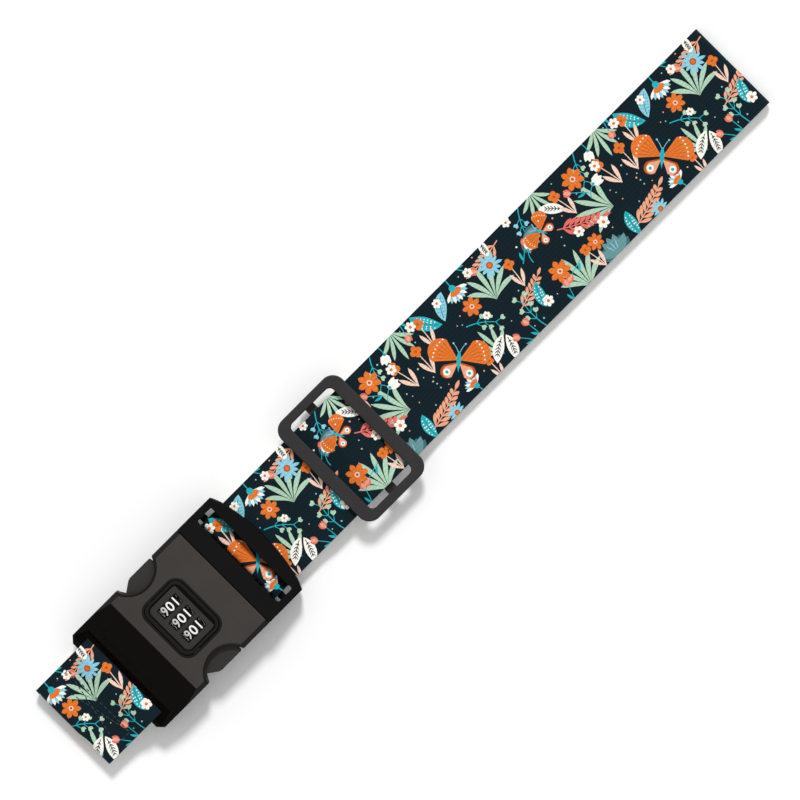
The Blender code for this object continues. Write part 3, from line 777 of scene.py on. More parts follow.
class Look:
    """A finish: a Principled shader and the nodes that feed it."""

    def __init__(self, name, **constants):
        self.material = bpy.data.materials.new(name)
        self.material.use_nodes = True
        self.tree = self.material.node_tree
        self.shader = self.tree.nodes["Principled BSDF"]
        for socket, value in constants.items():
            self.shader.inputs[socket.replace("_", " ")].default_value = value

    def add(self, kind, settings=None, sockets=None, output=0):
        """Any node: its settings are made first, then its sockets are set or linked."""
        node = self.tree.nodes.new("ShaderNode" + kind)
        for key, value in (settings or {}).items():
            setattr(node, key, value)
        for key, value in (sockets or {}).items():
            self.feed(node.inputs[key], value)
        return Value(self, node.outputs[output])

    def feed(self, socket, value):
        if isinstance(value, Value):
            self.tree.links.new(value.socket, socket)
        else:
            socket.default_value = value

    def into(self, name, value):
        self.feed(self.shader.inputs[name], value)

    def noise(self, where, scale, detail=2.0, roughness=0.5):
        sockets = {"Vector": where, "Scale": scale, "Detail": detail, "Roughness": roughness}
        return self.add("TexNoise", {}, sockets)

    def place(self):
        return self.add("TexCoord", {}, {}, 3)

    def tint(self, colour, shade, share, blend="MULTIPLY"):
        """Mixes a colour with a shade. Both may be values or plain colours."""
        settings = {"data_type": "RGBA", "blend_type": blend}
        return self.add("Mix", settings, {0: share, 6: colour, 7: shade}, 2)

    def grey(self, value):
        return self.add("CombineColor", {}, {0: value, 1: value, 2: value})

    def bump(self, height, depth, strength=1.0):
        self.into("Normal", self.add("Bump", {}, {"Height": height, "Distance": depth, "Strength": strength}))


YARN = 0.00095  # pitch of the weave, in metres


def webbing_look():
    """Printed polyester webbing: each yarn crossing stands up and the print is thinner between the yarns,
    where the hollows also carry painted shade.
    """
    look = Look("printed_webbing", Roughness=0.8, Sheen_Weight=0.03, Sheen_Roughness=0.5)
    look.shader.inputs["Specular IOR Level"].default_value = 0.06
    ink = look.add("Attribute", {"attribute_name": "ink"})
    lay = look.add("UVMap", {"uv_map": "lay"})
    along = look.add("SeparateXYZ", {}, {0: lay}, 0)
    across = look.add("SeparateXYZ", {}, {0: lay}, 1)
    turn = 2 * math.pi / YARN
    yarns = (along * turn).sine() * (across * turn).sine()
    ribs = (across * (turn / 2)).sine() * 0.25
    crown = yarns * 0.4 + ribs + 0.5
    fuzz = look.noise(lay, 5200.0, 3.0, 0.6)
    patches = look.noise(lay, 90.0, 3.0, 0.55)
    # Painted shade: crown darkens the print in the hollows of the weave; fuzz and patches vary the tone at
    # random.
    shade = 0.90 + crown * 0.24 + (fuzz - 0.5) * 0.30 + (patches - 0.5) * 0.14
    printed = look.tint(ink, look.grey(shade), 1.0)
    bare = ((fuzz - 0.62) * 5.0 * (1.0 - crown)).clamped() * 0.10
    look.into("Base Color", look.tint(printed, (0.62, 0.60, 0.56, 1), bare, "MIX"))
    look.into("Roughness", (0.84 - crown * 0.14 + (fuzz - 0.5) * 0.1).clamped())
    look.bump(crown * 0.7 + fuzz * 0.3 + patches * 1.2, 0.00022, 0.75)
    return look.material


def moulded_look(name, colour, roughness, grain, specular, depth=0.00004):
    """Moulded plastic: fine spark-eroded grain, slow unevenness of gloss and a few faint rub marks."""
    look = Look(name)
    look.shader.inputs["Specular IOR Level"].default_value = specular
    where = look.place()
    fine = look.noise(where, grain, 2.0, 0.6)
    slow = look.noise(where, 70.0, 3.0, 0.5)
    streaks = look.add("Mapping", {}, {"Vector": where, "Rotation": (0, 0, 0.5), "Scale": (1.0, 14.0, 6.0)})
    rubbed = ((look.noise(streaks, 120.0, 4.0, 0.7) - 0.62) * 6.0).clamped()
    shade = 0.86 + (fine - 0.5) * 0.35 + (slow - 0.5) * 0.30 + rubbed * 0.22
    look.into("Base Color", look.tint((*colour, 1), look.grey(shade), 1.0))
    look.into("Roughness", (roughness + (slow - 0.5) * 0.16 + (fine - 0.5) * 0.12 - rubbed * 0.08).clamped())
    look.bump(fine + rubbed * 0.3, depth, 0.8)
    return look.material


def metal_look(name, colour, roughness, grain):
    look = Look(name, Metallic=1.0)
    where = look.place()
    fine = look.noise(where, grain, 3.0, 0.6)
    slow = look.noise(where, 160.0, 2.0, 0.5)
    shade = 0.8 + (slow - 0.5) * 0.4 + (fine - 0.5) * 0.3
    look.into("Base Color", look.tint((*colour, 1), look.grey(shade), 1.0))
    look.into("Roughness", (roughness + (fine - 0.5) * 0.25).clamped())
    look.bump(fine, 0.00002, 0.6)
    return look.material


def thread_look():
    """Twisted sewing thread, with painted shade in the lay of its strands."""
    look = Look("dark_thread", Roughness=0.7, Sheen_Weight=0.2)
    where = look.place()
    turned = look.add("Mapping", {}, {"Vector": where, "Rotation": (0, 0, 0.7)})
    sockets = {"Vector": turned, "Scale": 1300.0, "Distortion": 0.6}
    strands = look.add("TexWave", {"wave_type": "BANDS"}, sockets, 1)
    # Painted shade: the colour is darker in the low bands of the strands, where the bump is low too.
    look.into("Base Color", look.tint((0.016, 0.035, 0.043, 1), look.grey(0.6 + strands * 0.7), 1.0))
    look.into("Roughness", 0.75 - strands * 0.15)
    look.bump(strands, 0.00008, 0.9)
    return look.material


def paint_look():
    """Slightly worn white paint of the numbers."""
    look = Look("number_paint", Roughness=0.5)
    where = look.place()
    worn = ((look.noise(where, 1500.0, 4.0, 0.7) - 0.62) * 8.0).clamped()
    look.into("Base Color", look.tint((0.86, 0.86, 0.84, 1), (0.30, 0.30, 0.30, 1), worn, "MIX"))
    look.into("Roughness", 0.48 + worn * 0.25)
    look.bump(look.noise(where, 2600.0, 2.0), 0.00002, 0.5)
    return look.material


def paper_look():
    look = Look("pale_floor", Roughness=0.95)
    look.shader.inputs["Specular IOR Level"].default_value = 0.0
    where = look.place()
    shade = 0.99 + look.noise(where, 40.0) * 0.01
    look.into("Base Color", look.tint((0.97, 0.97, 0.97, 1), look.grey(shade), 1.0))
    return look.material


LOOKS = {
    "webbing": webbing_look(),
    # One black plastic in five copies: the first is lightened as painted reflection on flat tops; the next
    # four are darkened as painted shade, on sunk faces, on slopes and recesses, on the plug, and on sides and
    # rims.
    "face": moulded_look("buckle_face_painted_reflection", (0.040, 0.0335, 0.030), 0.54, 3400.0, 0.32),
    "button": moulded_look("sunk_plastic_painted_shade", (0.027, 0.0235, 0.0220), 0.50, 3200.0, 0.28),
    "darkest_shade": moulded_look("buckle_plastic_painted_deep_shade", (0.0040, 0.0030, 0.0023), 0.50, 3000.0, 0.06),
    "plug": moulded_look("plug_plastic_painted_shade", (0.0042, 0.0038, 0.0038), 0.50, 3000.0, 0.06),
    "edge": moulded_look("buckle_plastic_painted_edge_shade", (0.0095, 0.0085, 0.0082), 0.50, 3200.0, 0.12),
    "slider": moulded_look("slider_plastic", (0.0265, 0.0240, 0.0245), 0.56, 2600.0, 0.26),
    "dial": moulded_look("dial_plastic", (0.0060, 0.0058, 0.0058), 0.55, 3600.0, 0.16, 0.00002),
    "paint": paint_look(),
    "steel": metal_look("zinc_plated_steel", (0.62, 0.63, 0.64), 0.32, 2200.0),
    "zinc": metal_look("cast_zinc", (0.60, 0.59, 0.57), 0.46, 1600.0),
    "thread": thread_look(),
    "floor": paper_look(),
}


# ---------------------------------------------------------------- stage

ROOM_LIGHT = 0.60
KEY_LIGHT = 2.12
KEY_LEAN = 45.0
KEY_SPREAD = 12.0  # the lower it is, the crisper the shadow's edge
VIEW_TURN = 45.07
VIEW_WIDTH = 385.9
VIEW_CENTRE = (-2.3, -0.25)


def make_stage():
    """Pale floor, a soft key from the far side, a bright room and the camera straight above."""
    bpy.ops.mesh.primitive_plane_add(size=40, location=(0, 0, -0.0002))
    floor = bpy.context.object
    floor.name = "floor"
    floor.data.materials.append(LOOKS["floor"])

    scene = bpy.context.scene
    room = bpy.data.worlds.new("room")
    room.use_nodes = True
    room.node_tree.nodes["Background"].inputs["Color"].default_value = (1, 1, 1, 1)
    room.node_tree.nodes["Background"].inputs["Strength"].default_value = ROOM_LIGHT
    scene.world = room
    scene.view_settings.view_transform = "Standard"
    scene.view_settings.look = "None"

    sun = bpy.data.lights.new("key", "SUN")
    sun.energy = KEY_LIGHT
    sun.angle = math.radians(KEY_SPREAD)
    key = bpy.data.objects.new("key", sun)
    key.rotation_euler = (math.radians(-KEY_LEAN), 0, math.radians(-VIEW_TURN))
    scene.collection.objects.link(key)

    lens = bpy.data.cameras.new("camera")
    lens.sensor_width = 36
    lens.lens = 200
    camera = bpy.data.objects.new("camera", lens)
    distance = VIEW_WIDTH * MM * lens.lens / lens.sensor_width
    camera.location = (VIEW_CENTRE[0] * MM, VIEW_CENTRE[1] * MM, distance)
    camera.rotation_euler = (0, 0, math.radians(-VIEW_TURN))
    lens.clip_end = 50
    scene.collection.objects.link(camera)
    scene.camera = camera


# ---------------------------------------------------------------- tools of the hard pieces

SMOOTH_BELOW = 40  # degrees between two faces that are shaded as one surface


def nothing_selected():
    if bpy.context.object and bpy.context.object.mode != "OBJECT":
        bpy.ops.object.mode_set(mode="OBJECT")
    bpy.ops.object.select_all(action="DESELECT")


def take(piece):
    """Makes one piece active and selects only that."""
    nothing_selected()
    piece.select_set(True)
    bpy.context.view_layer.objects.active = piece
    return piece


def settle(name):
    """Names the new primitive, scales it in its mesh and leaves its object unturned at the origin."""
    piece = bpy.context.object
    piece.name = name
    bpy.ops.object.transform_apply(location=True, rotation=True, scale=True)
    return piece


def block(name, x, y, z):
    nothing_selected()
    middle = [(a + b) / 2 * MM for a, b in (x, y, z)]
    size = [(b - a) * MM for a, b in (x, y, z)]
    bpy.ops.mesh.primitive_cube_add(size=1, location=middle, scale=size)
    return settle(name)


def rod(name, middle, radius, length, axis="Z", sides=64):
    nothing_selected()
    turn = (math.pi / 2, 0, 0) if axis == "Y" else (0, 0, 0)
    where = [c * MM for c in middle]
    bpy.ops.mesh.primitive_cylinder_add(
        vertices=sides, radius=radius * MM, depth=length * MM, location=where, rotation=turn)
    return settle(name)


def slab(name, outline, axis, low, high):
    """An outline's face, extruded. Along "Z" it takes (x, y) points and along "Y" it takes (x, z) points."""
    nothing_selected()
    bpy.ops.mesh.primitive_circle_add(vertices=len(outline), radius=1, fill_type="NGON")
    piece = settle(name)
    for corner, (a, b) in zip(piece.data.vertices, outline):
        corner.co = Vector((a, b, low) if axis == "Z" else (a, low, b)) * MM
    rise = Vector((0, 0, high - low) if axis == "Z" else (0, high - low, 0)) * MM
    edit(piece, "FACE")
    bpy.ops.mesh.select_all(action="SELECT")
    bpy.ops.mesh.extrude_region_move(TRANSFORM_OT_translate={"value": rise})
    bpy.ops.mesh.select_all(action="SELECT")
    bpy.ops.mesh.normals_make_consistent(inside=False)
    bpy.ops.object.mode_set(mode="OBJECT")
    return piece


def edit(piece, kind="EDGE"):
    take(piece)
    bpy.ops.object.mode_set(mode="EDIT")
    bpy.ops.mesh.select_mode(type=kind)
    bpy.ops.mesh.select_all(action="DESELECT")
    return bmesh.from_edit_mesh(piece.data)


def bevel_where(piece, chosen, width, segments=3, profile=0.5):
    """Bevels the edges whose two ends, in millimetres, pass the test."""
    bm = edit(piece)
    for edge in bm.edges:
        a, b = (v.co / MM for v in edge.verts)
        edge.select = chosen(a, b)
    bmesh.update_edit_mesh(piece.data)
    bpy.ops.mesh.bevel(
        offset=width * MM, segments=segments, profile=profile, affect="EDGES", clamp_overlap=True)
    bpy.ops.object.mode_set(mode="OBJECT")
    return piece


def slice_off(piece, point, outward):
    """Cuts away what lies beyond a plane and closes the cut."""
    edit(piece, "FACE")
    bpy.ops.mesh.select_all(action="SELECT")
    where = [c * MM for c in point]
    facing = Vector(outward).normalized()
    bpy.ops.mesh.bisect(plane_co=where, plane_no=facing, use_fill=True, clear_outer=True)
    bpy.ops.object.mode_set(mode="OBJECT")
    return piece


def combine(piece, others, operation):
    """Adds or removes other solids, which are used up."""
    for other in others:
        take(piece)
        made = piece.modifiers.new("combine", "BOOLEAN")
        made.operation = operation
        made.object = other
        bpy.ops.object.modifier_apply(modifier=made.name)
        bpy.data.objects.remove(other)
    return piece


def carve(piece, *others):
    return combine(piece, others, "DIFFERENCE")


def weld(piece, *others):
    return combine(piece, others, "UNION")


def keep_inside(piece, *others):
    return combine(piece, others, "INTERSECT")


def join_all(pieces, name):
    """Makes one piece of several that stay loose parts of it."""
    take(pieces[0])
    for other in pieces[1:]:
        other.select_set(True)
    bpy.ops.object.join()
    joined = bpy.context.object
    joined.name = name
    return joined


def soften(piece, width, segments=2, degrees=40):
    """Rounds every edge sharper than so many degrees."""
    take(piece)
    made = piece.modifiers.new("soften", "BEVEL")
    made.width = width * MM
    made.segments = segments
    made.limit_method = "ANGLE"
    made.angle_limit = math.radians(degrees)
    made.harden_normals = False
    bpy.ops.object.modifier_apply(modifier=made.name)
    return piece


def finish_piece(piece, look, body, slot, *nodes):
    """Shades a piece, gives it its finish and body, and hides the nodes that it stands for."""
    edit(piece, "VERT")
    bpy.ops.mesh.select_all(action="SELECT")
    bpy.ops.mesh.dissolve_degenerate(threshold=0.001 * MM)
    bpy.ops.mesh.remove_doubles(threshold=0.002 * MM)
    bpy.ops.object.mode_set(mode="OBJECT")
    bpy.ops.object.shade_smooth_by_angle(angle=math.radians(SMOOTH_BELOW))
    level = piece.modifiers.new("level", "WEIGHTED_NORMAL")
    level.keep_sharp = True
    level.weight = 100
    bpy.ops.object.modifier_apply(modifier=level.name)
    piece.data.materials.clear()
    piece.data.materials.append(LOOKS[look])
    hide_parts(*nodes)
    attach(piece, body)
    return piece


def paint_faces(piece, look, chosen):
    """Gives a second finish to the faces whose middle, in millimetres, and normal pass the test."""
    piece.data.materials.append(LOOKS[look])
    number = len(piece.data.materials) - 1
    for face in piece.data.polygons:
        if chosen(face.center / MM, face.normal):
            face.material_index = number


def rounded_block(name, x, y, z, radius, segments=8):
    """A block with its four upright edges rounded."""
    piece = block(name, x, y, z)
    return bevel_where(piece, lambda a, b: abs(a.z - b.z) > 0.5 * (z[1] - z[0]), radius, segments)


# ---------------------------------------------------------------- socket

FACE_Z = 18.0
HOOD_Z = 14.2
FACE_EDGE = -170.7
HOOD_EDGE = -185.8
HALF_WIDTH = shell_high.y
MOUTH = shell_high.x
SLOT_HALF = 27.5
WALL = 2.1
CEILING = FACE_Z - 2.0
FLOOR = 7.9  # where the base's bosses meet the shell's
ABOVE = 30  # well over every piece, for the top of a cutter
THUMB_X, THUMB_Y, THUMB_R = -151.2, 35.4, 12.6
SHELL_BOSSES = ((-176.0, 13.0, 20.0), (-128.6, CEILING + 0.5, 17.8))  # x, top, distance off the middle
BOSS_R, PILOT_R = 2.4, 1.2
PANEL_DEPTH = 0.3  # of the recess in the hood
ARM_GROOVES = (-152.6, -150.6, -148.6, -146.6, -144.6)
ARM_OUTLINE = (
    (-124.4, 23.2), (-124.4, 28.3), (-140.7, 28.3), (-140.9, 30.8), (-141.3, 31.2), (-154.0, 31.2),
    (-155.4, 30.8), (-156.6, 30.0), (-160.0, 27.6), (-164.2, 24.0), (-164.8, 22.9), (-164.6, 22.1),
    (-164.0, 21.8), (-147.0, 21.8), (-141.5, 23.6), (-137.5, 25.7), (-130.0, 25.7), (-127.0, 23.2),
)


def slope(x_low, z_low, x_high, z_high):
    """The upward normal of a surface that runs between two points of the side view."""
    return (z_low - z_high, 0, x_high - x_low)


def make_shell():
    """The socket's upper moulding: flat face, sloping hood over the webbing, end bar and thumb notches."""
    across = (-HALF_WIDTH, HALF_WIDTH)
    within = (WALL - HALF_WIDTH, HALF_WIDTH - WALL)
    shell = block("socket_shell_moulding", (shell_low.x, MOUTH), across, (shell_low.z, FACE_Z))
    corner_cut, side_chamfer, edge_radius = 3.0, 2.4, 0.4
    profile = [(shell_low.x, 10.6), (shell_low.x + 2.2, 12.4), (HOOD_EDGE, HOOD_Z), (FACE_EDGE, FACE_Z)]
    for (x_from, z_from), (x_to, z_to) in zip(profile, profile[1:]):
        slice_off(shell, (x_to, 0, z_to), slope(x_from, z_from, x_to, z_to))
    for side in (-1, 1):
        slice_off(shell, (shell_low.x + corner_cut, side * HALF_WIDTH, 0), (-1, side, 0))
        slice_off(shell, (FACE_EDGE, side * (HALF_WIDTH - side_chamfer), FACE_Z), (0, side, 1))
    chamber = block("chamber", (-168.2, MOUTH + 9), within, (0, CEILING))
    bevel_where(chamber, lambda a, b: min(a.z, b.z) > CEILING - 0.1, 1.6, 1)
    under_slope = block("under_slope", (-180.9, -167.0), within, (0, 12.4))
    below = block("below", (HOOD_EDGE + 2.8, 0), (-40, 40), (0, FLOOR))
    strap = block("strap", (-210, HOOD_EDGE), (-SLOT_HALF, SLOT_HALF), (0, ABOVE))
    under_hood = block("under_hood", (-186.5, -182.8), (0.3 - SLOT_HALF, SLOT_HALF - 0.3), (0, 13.2))
    carve(shell, chamber, under_slope, below, strap, under_hood)
    soften(shell, edge_radius, 3, 28)
    for side in (-1, 1):
        weld(shell, thumb_rim(side))
        carve(shell, rod("thumb", (THUMB_X, side * THUMB_Y, 15), THUMB_R, 40, "Z", 128))
    weld(shell, seat_rim())
    seat_x, seat_y = seat(GAP)
    carve(shell, rounded_block("seat", seat_x, seat_y, (10, ABOVE), 5.3, 10))
    bar = block("bar", SOCKET_BAR[:2], (-SLOT_HALF - 1, SLOT_HALF + 1), SOCKET_BAR[2:])
    bevel_where(bar, lambda a, b: abs(a.y - b.y) > 20, 1.5, 5)
    bar.data.transform(Matrix.Translation((0.02 * MM, 0, 0)))  # so that no two faces share a plane
    weld(shell, bar)
    for side in (-1, 1):
        for x, top, off in SHELL_BOSSES:
            boss = rod("boss", (x, side * off, (FLOOR + top) / 2), BOSS_R, top - FLOOR, "Z", 32)
            carve(weld(shell, boss), rod("pilot", (x, side * off, 6), PILOT_R, 12.2, "Z", 20))
    panel = rounded_block("panel", (-5.4, 5.4), (-22.0, 22.0), (-PANEL_DEPTH, 2), 1.4, 5)
    tilt = math.atan2(FACE_Z - HOOD_Z, FACE_EDGE - HOOD_EDGE)
    middle = Vector(((FACE_EDGE + HOOD_EDGE) / 2 + 0.4, 0, (FACE_Z + HOOD_Z) / 2 + 0.1)) * MM
    panel.data.transform(Matrix.Translation(middle) @ Matrix.Rotation(-tilt, 4, "Y"))
    carve(shell, panel)
    # The flat top takes the copy lightened as painted reflection; the hood and end bar take the darkest
    # painted shade, and every other face a dark painted shade.
    finish_piece(shell, "face", "socket", "buckle_plastic", "socket_shell")
    paint_faces(shell, "darkest_shade", lambda c, n: c.x < FACE_EDGE + 0.1)
    paint_faces(shell, "edge", lambda c, n: c.x > FACE_EDGE and (abs(c.z - FACE_Z) > 0.04 or n.z < 0.9))
    return shell


def thumb_rim(side):
    """The raised bead round a thumb notch, drawn as a ring whose outer part lies beyond the side wall."""
    nothing_selected()
    bpy.ops.mesh.primitive_torus_add(
        location=(THUMB_X * MM, side * THUMB_Y * MM, (FACE_Z - 0.15) * MM),
        major_radius=(THUMB_R + 0.75) * MM, minor_radius=0.7 * MM, major_segments=128, minor_segments=14)
    rim = settle("thumb_rim")
    return slice_off(rim, (0, side * (HALF_WIDTH - 1.7), 0), (0, side, 0))


def seat(room):
    """The x and y ranges of the dials' insert with some room round it."""
    return (bezel_low.x - room, bezel_high.x + room), (bezel_low.y - room, bezel_high.y + room)


def seat_rim():
    """The low raised border that the dials' insert stands in. The seat is cut through it afterwards."""
    height = 0.35
    x, y = seat(GAP + 1.1)
    rim = rounded_block("seat_rim", x, y, (FACE_Z - 0.6, FACE_Z + height), 6.3, 12)
    return bevel_where(rim, lambda a, b: min(a.z, b.z) > FACE_Z, height - 0.05, 4)


def make_arm(side, hand):
    """A release arm: its root plate, thin neck and broad ribbed button."""
    node = f"release_arm_{hand}"
    low, high = (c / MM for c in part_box(node))
    groove_width, groove_end = 0.7, 1.2
    groove_y = sorted((side * 30.75, side * 33))
    groove_z = (low.z + groove_end, high.z - groove_end)
    arm = slab(f"{node}_moulding", [(x, side * y) for x, y in ARM_OUTLINE], "Z", low.z, high.z)
    soften(arm, 0.5, 3, 50)
    for x in ARM_GROOVES:
        carve(arm, block("groove", (x, x + groove_width), groove_y, groove_z))
    # Painted shade: the button takes a darker copy of the plastic where it lies in its notch, and its sides a
    # darker copy still.
    finish_piece(arm, "button", f"arm_{hand}", "buckle_plastic", node)
    paint_faces(arm, "edge", lambda c, n: abs(n.z) < 0.5)
    return arm


# ---------------------------------------------------------------- dials

DIAL_X, DIAL_Z = -149.8, 13.3
DIAL_R, DIAL_WIDTH, DIAL_PITCH = 6.0, 5.2, 7.9
DIGITS = 10
DIGIT_SIZE = 6.9
WHEEL_BORE = 3.5
GROOVE_R = 0.62
WINDOW_X, WINDOW_Y = 6.3, 2.85  # half the length and width of a dial's window
PANEL_DROP = 0.85  # from the insert's rim to its panel


def make_bezel():
    """The raised insert: a rounded rim, a sunk panel with a sloping wall, and three windows."""
    top, panel_z = bezel_high.z, bezel_high.z - PANEL_DROP
    x, y = (bezel_low.x, bezel_high.x), (bezel_low.y, bezel_high.y)
    bezel = rounded_block("dial_bezel_moulding", x, y, (CEILING - 0.3, top), 5.0, 12)
    bevel_where(bezel, lambda a, b: min(a.z, b.z) > top - 0.01, 0.55, 4)
    dish_x, dish_y = (x[0] + 1.9, x[1] - 1.5), (y[0] + 1.5, y[1] - 1.5)
    dish = rounded_block("dish", dish_x, dish_y, (panel_z, ABOVE), 3.6, 10)
    bevel_where(dish, lambda a, b: max(a.z, b.z) < panel_z + 0.01, 0.80, 1)
    slice_off(dish, (x[1] - 3.4, 0, panel_z), (1, 0, -2.2))
    carve(bezel, dish)
    chamber = block("chamber", (DIAL_X - 6.8, DIAL_X + 6.8), (-13.2, 13.2), (0, panel_z - 0.8))
    carve(bezel, chamber)
    for k in (-1, 0, 1):
        along = (DIAL_X - WINDOW_X, DIAL_X + WINDOW_X)
        across = (k * DIAL_PITCH - WINDOW_Y, k * DIAL_PITCH + WINDOW_Y)
        carve(bezel, rounded_block("window", along, across, (10, ABOVE), 0.5, 4))
    bevel_where(bezel, on_window_edge(panel_z), 0.22, 2)
    for side in (-1, 1):
        cheek_y = sorted((side * 13.6, side * 15.3))
        weld(bezel, block("cheek", (DIAL_X - 4.5, DIAL_X + 4.5), cheek_y, (DIAL_Z - 4.0, CEILING + 0.5)))
    carve(bezel, rod("bore", (DIAL_X, 0, DIAL_Z), 1.8, 40, "Y", 32))
    # Painted shade: the rim takes a dark copy of the plastic, the sunk panel a lighter one, and the panel's
    # sloping wall and all below it the darkest.
    finish_piece(bezel, "edge", "socket", "buckle_plastic", "dial_bezel")
    paint_faces(bezel, "button", lambda c, n: abs(c.z - panel_z) < 0.02 and n.z > 0.9)
    paint_faces(bezel, "darkest_shade", lambda c, n: c.z < panel_z - 0.02 or (c.z < top - 0.2 and 0.2 < n.z < 0.95))
    return bezel


def on_window_edge(level):
    """Picks the edges round the three windows at the panel's level."""
    def chosen(a, b):
        near = max(abs(a.x - DIAL_X), abs(b.x - DIAL_X)) < 6.5 and max(abs(a.y), abs(b.y)) < 12
        return near and abs(a.z - level) < 0.02 and abs(b.z - level) < 0.02
    return chosen


def make_wheel(number):
    """A number wheel: ten flats with grooves between them, and ten painted numbers."""
    node = f"dial_wheel_{number}"
    y = (2 - number) * DIAL_PITCH
    wheel = rod(f"number_wheel_{number}", (DIAL_X, y, DIAL_Z), DIAL_R, DIAL_WIDTH, "Y", 120)
    bevel_where(wheel, lambda a, b: abs(a.y - b.y) < 0.01 and (a - b).length < 0.5, 0.35, 3)
    carve(wheel, rod("bore", (DIAL_X, y, DIAL_Z), WHEEL_BORE, 30, "Y", 48))
    reach = DIAL_R + 0.25
    for k in range(DIGITS):
        turn = 2 * math.pi * (k + 0.5) / DIGITS
        where = (DIAL_X + reach * math.sin(turn), y, DIAL_Z + reach * math.cos(turn))
        carve(wheel, rod("groove", where, GROOVE_R, 30, "Y", 16))
    finish_piece(wheel, "dial", f"dial_{number}", "dial_plastic", node)
    numbers = [make_number(digit, y) for digit in range(DIGITS)]
    row = join_all(numbers, f"numbers_{number}")
    row.data.materials.clear()
    row.data.materials.append(LOOKS["paint"])
    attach(row, f"dial_{number}")


def make_number(digit, y):
    """One number, a little proud, upright as read from above and turned to its place on the wheel."""
    nothing_selected()
    bpy.ops.object.text_add()
    text = bpy.context.object
    text.data.body = str(digit)
    text.data.size = DIGIT_SIZE * MM
    text.data.align_x = "CENTER"
    text.data.align_y = "CENTER"
    text.data.extrude = 0.06 * MM
    text.data.offset = 0.10 * MM
    text.data.resolution_u = 5
    bpy.ops.object.convert(target="MESH")
    mark = bpy.context.object
    corners = np.array([v.co for v in mark.data.vertices])
    middle = (corners.max(0) + corners.min(0)) / 2
    turn = Matrix.Rotation(2 * math.pi * digit / DIGITS, 4, "Y")
    place = Matrix.Translation(Vector((DIAL_X, y, DIAL_Z)) * MM)
    lift = Vector((0, 0, (DIAL_R + 0.03) * MM))
    mark.data.transform(place @ turn @ Matrix.Translation(lift - Vector(middle)))
    return mark


def make_lock_spring():
    """The coil behind the lock plate, which shortens as the plate is drawn in; it is made here at one length.
    """
    wire, radius, turns, height = 0.22, 1.4, 5, 8.9
    seat, low, high = -167.6, -167.28, -159.12
    nothing_selected()
    bpy.ops.mesh.primitive_circle_add(vertices=10, radius=wire * MM, location=(radius * MM, 0, 0),
                                      rotation=(math.pi / 2, 0, 0))
    spring = settle("lock_spring_coil")
    coil = spring.modifiers.new("coil", "SCREW")
    coil.axis = "Z"
    coil.screw_offset = (high - low) / turns * MM
    coil.iterations = turns
    coil.steps = 20
    coil.render_steps = 20
    bpy.ops.object.modifier_apply(modifier=coil.name)
    edit(spring, "VERT")
    bpy.ops.mesh.select_all(action="SELECT")
    bpy.ops.mesh.fill_holes(sides=0)
    bpy.ops.mesh.select_all(action="SELECT")
    bpy.ops.mesh.normals_make_consistent(inside=False)
    bpy.ops.object.mode_set(mode="OBJECT")
    along = Matrix.Translation(Vector((low, 0, height)) * MM) @ Matrix.Rotation(math.pi / 2, 4, "Y")
    spring.data.transform(along)
    finish_piece(spring, "steel", "socket", "steel", "lock_spring")
    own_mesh(spring)


# ---------------------------------------------------------------- plug

PLUG_SHOULDER = -121.5
PLUG_END = -94.4
WINDOW = (-112.5, -102.9)
END_BAR_LOW = 8.0


def on_plug_rim(a, b):
    """Picks the upper outer edges, but not the shoulder's nor the bends across the slope."""
    outer = min(a.z, b.z) > 10.5 and min(a.x, b.x) > PLUG_SHOULDER + 0.1
    across = abs(a.y - b.y) > 40 and abs(a.x - b.x) < 0.1
    return outer and not (across and a.x < PLUG_END - 6)


def make_plug():
    """The plug: crossbar, window with its bar, bowed end bar, tongue and lugs."""
    shoulder, bow_depth = 26.0, 3.3
    bow = (shoulder**2 + bow_depth**2) / (2 * bow_depth)
    side_view = [
        (PLUG_SHOULDER, DECK),
        (PLUG_END + 1, DECK),
        (PLUG_END + 1, 12.2),
        (WINDOW[1], 13.6),
        (WINDOW[0], 15.4),
        (PLUG_SHOULDER, FACE_Z - 0.2),
    ]
    plug = slab("plug_moulding", side_view, "Y", -HALF_WIDTH, HALF_WIDTH)
    keep_inside(plug, rod("bow", (PLUG_END - bow, 0, 12), bow, 40, "Z", 512))
    for side in (-1, 1):
        slice_off(plug, (PLUG_END - bow_depth, side * shoulder, 0), (HALF_WIDTH - shoulder, side * 2.3, 0))
    bevel_where(plug, on_plug_rim, 1.3, 4, 0.45)
    slot = (-SLOT_HALF, SLOT_HALF)
    window = rounded_block("window", WINDOW, slot, (0, ABOVE), 0.9, 4)
    passage = block("passage", (WINDOW[1] - 0.5, -90), slot, (0, END_BAR_LOW))
    core = block("core", (PLUG_SHOULDER + 1.8, WINDOW[0] - 1.8), (-25.5, 25.5), (0, 12.5))
    carve(plug, window, passage, core)
    soften(plug, 0.3, 2, 50)
    bar = block("bar", PLUG_BAR[:2], (-SLOT_HALF - 1, SLOT_HALF + 1), PLUG_BAR[2:])
    bevel_where(bar, lambda a, b: abs(a.y - b.y) > 20, 1.1, 4)
    tongue = block("tongue", (-140.4, PLUG_SHOULDER + 0.5), (-13.0, 13.0), (9.2, 14.2))
    bevel_where(tongue, lambda a, b: a.x < -140 and b.x < -140, 1.2, 3)
    weld(plug, bar, tongue)
    for side in (-1, 1):
        lug_y = sorted((side * 20.5, side * 28.6))
        weld(plug, block("lug", (-124.1, PLUG_SHOULDER + 0.5), lug_y, (8.2, 15.7)))
    carve(plug, rounded_block("keyhole", (-137.5, -129.0), (-6.0, 6.0), (0, ABOVE), 1.5, 4))
    # Painted shade: the plug's sloping top takes the darkest copy of the plastic, and the tongue and lugs
    # inside the socket a dark copy.
    finish_piece(plug, "plug", "plug", "buckle_plastic", "plug_frame")
    paint_faces(plug, "edge", lambda c, n: c.x < PLUG_SHOULDER + 0.05)
    return plug


# ---------------------------------------------------------------- slider


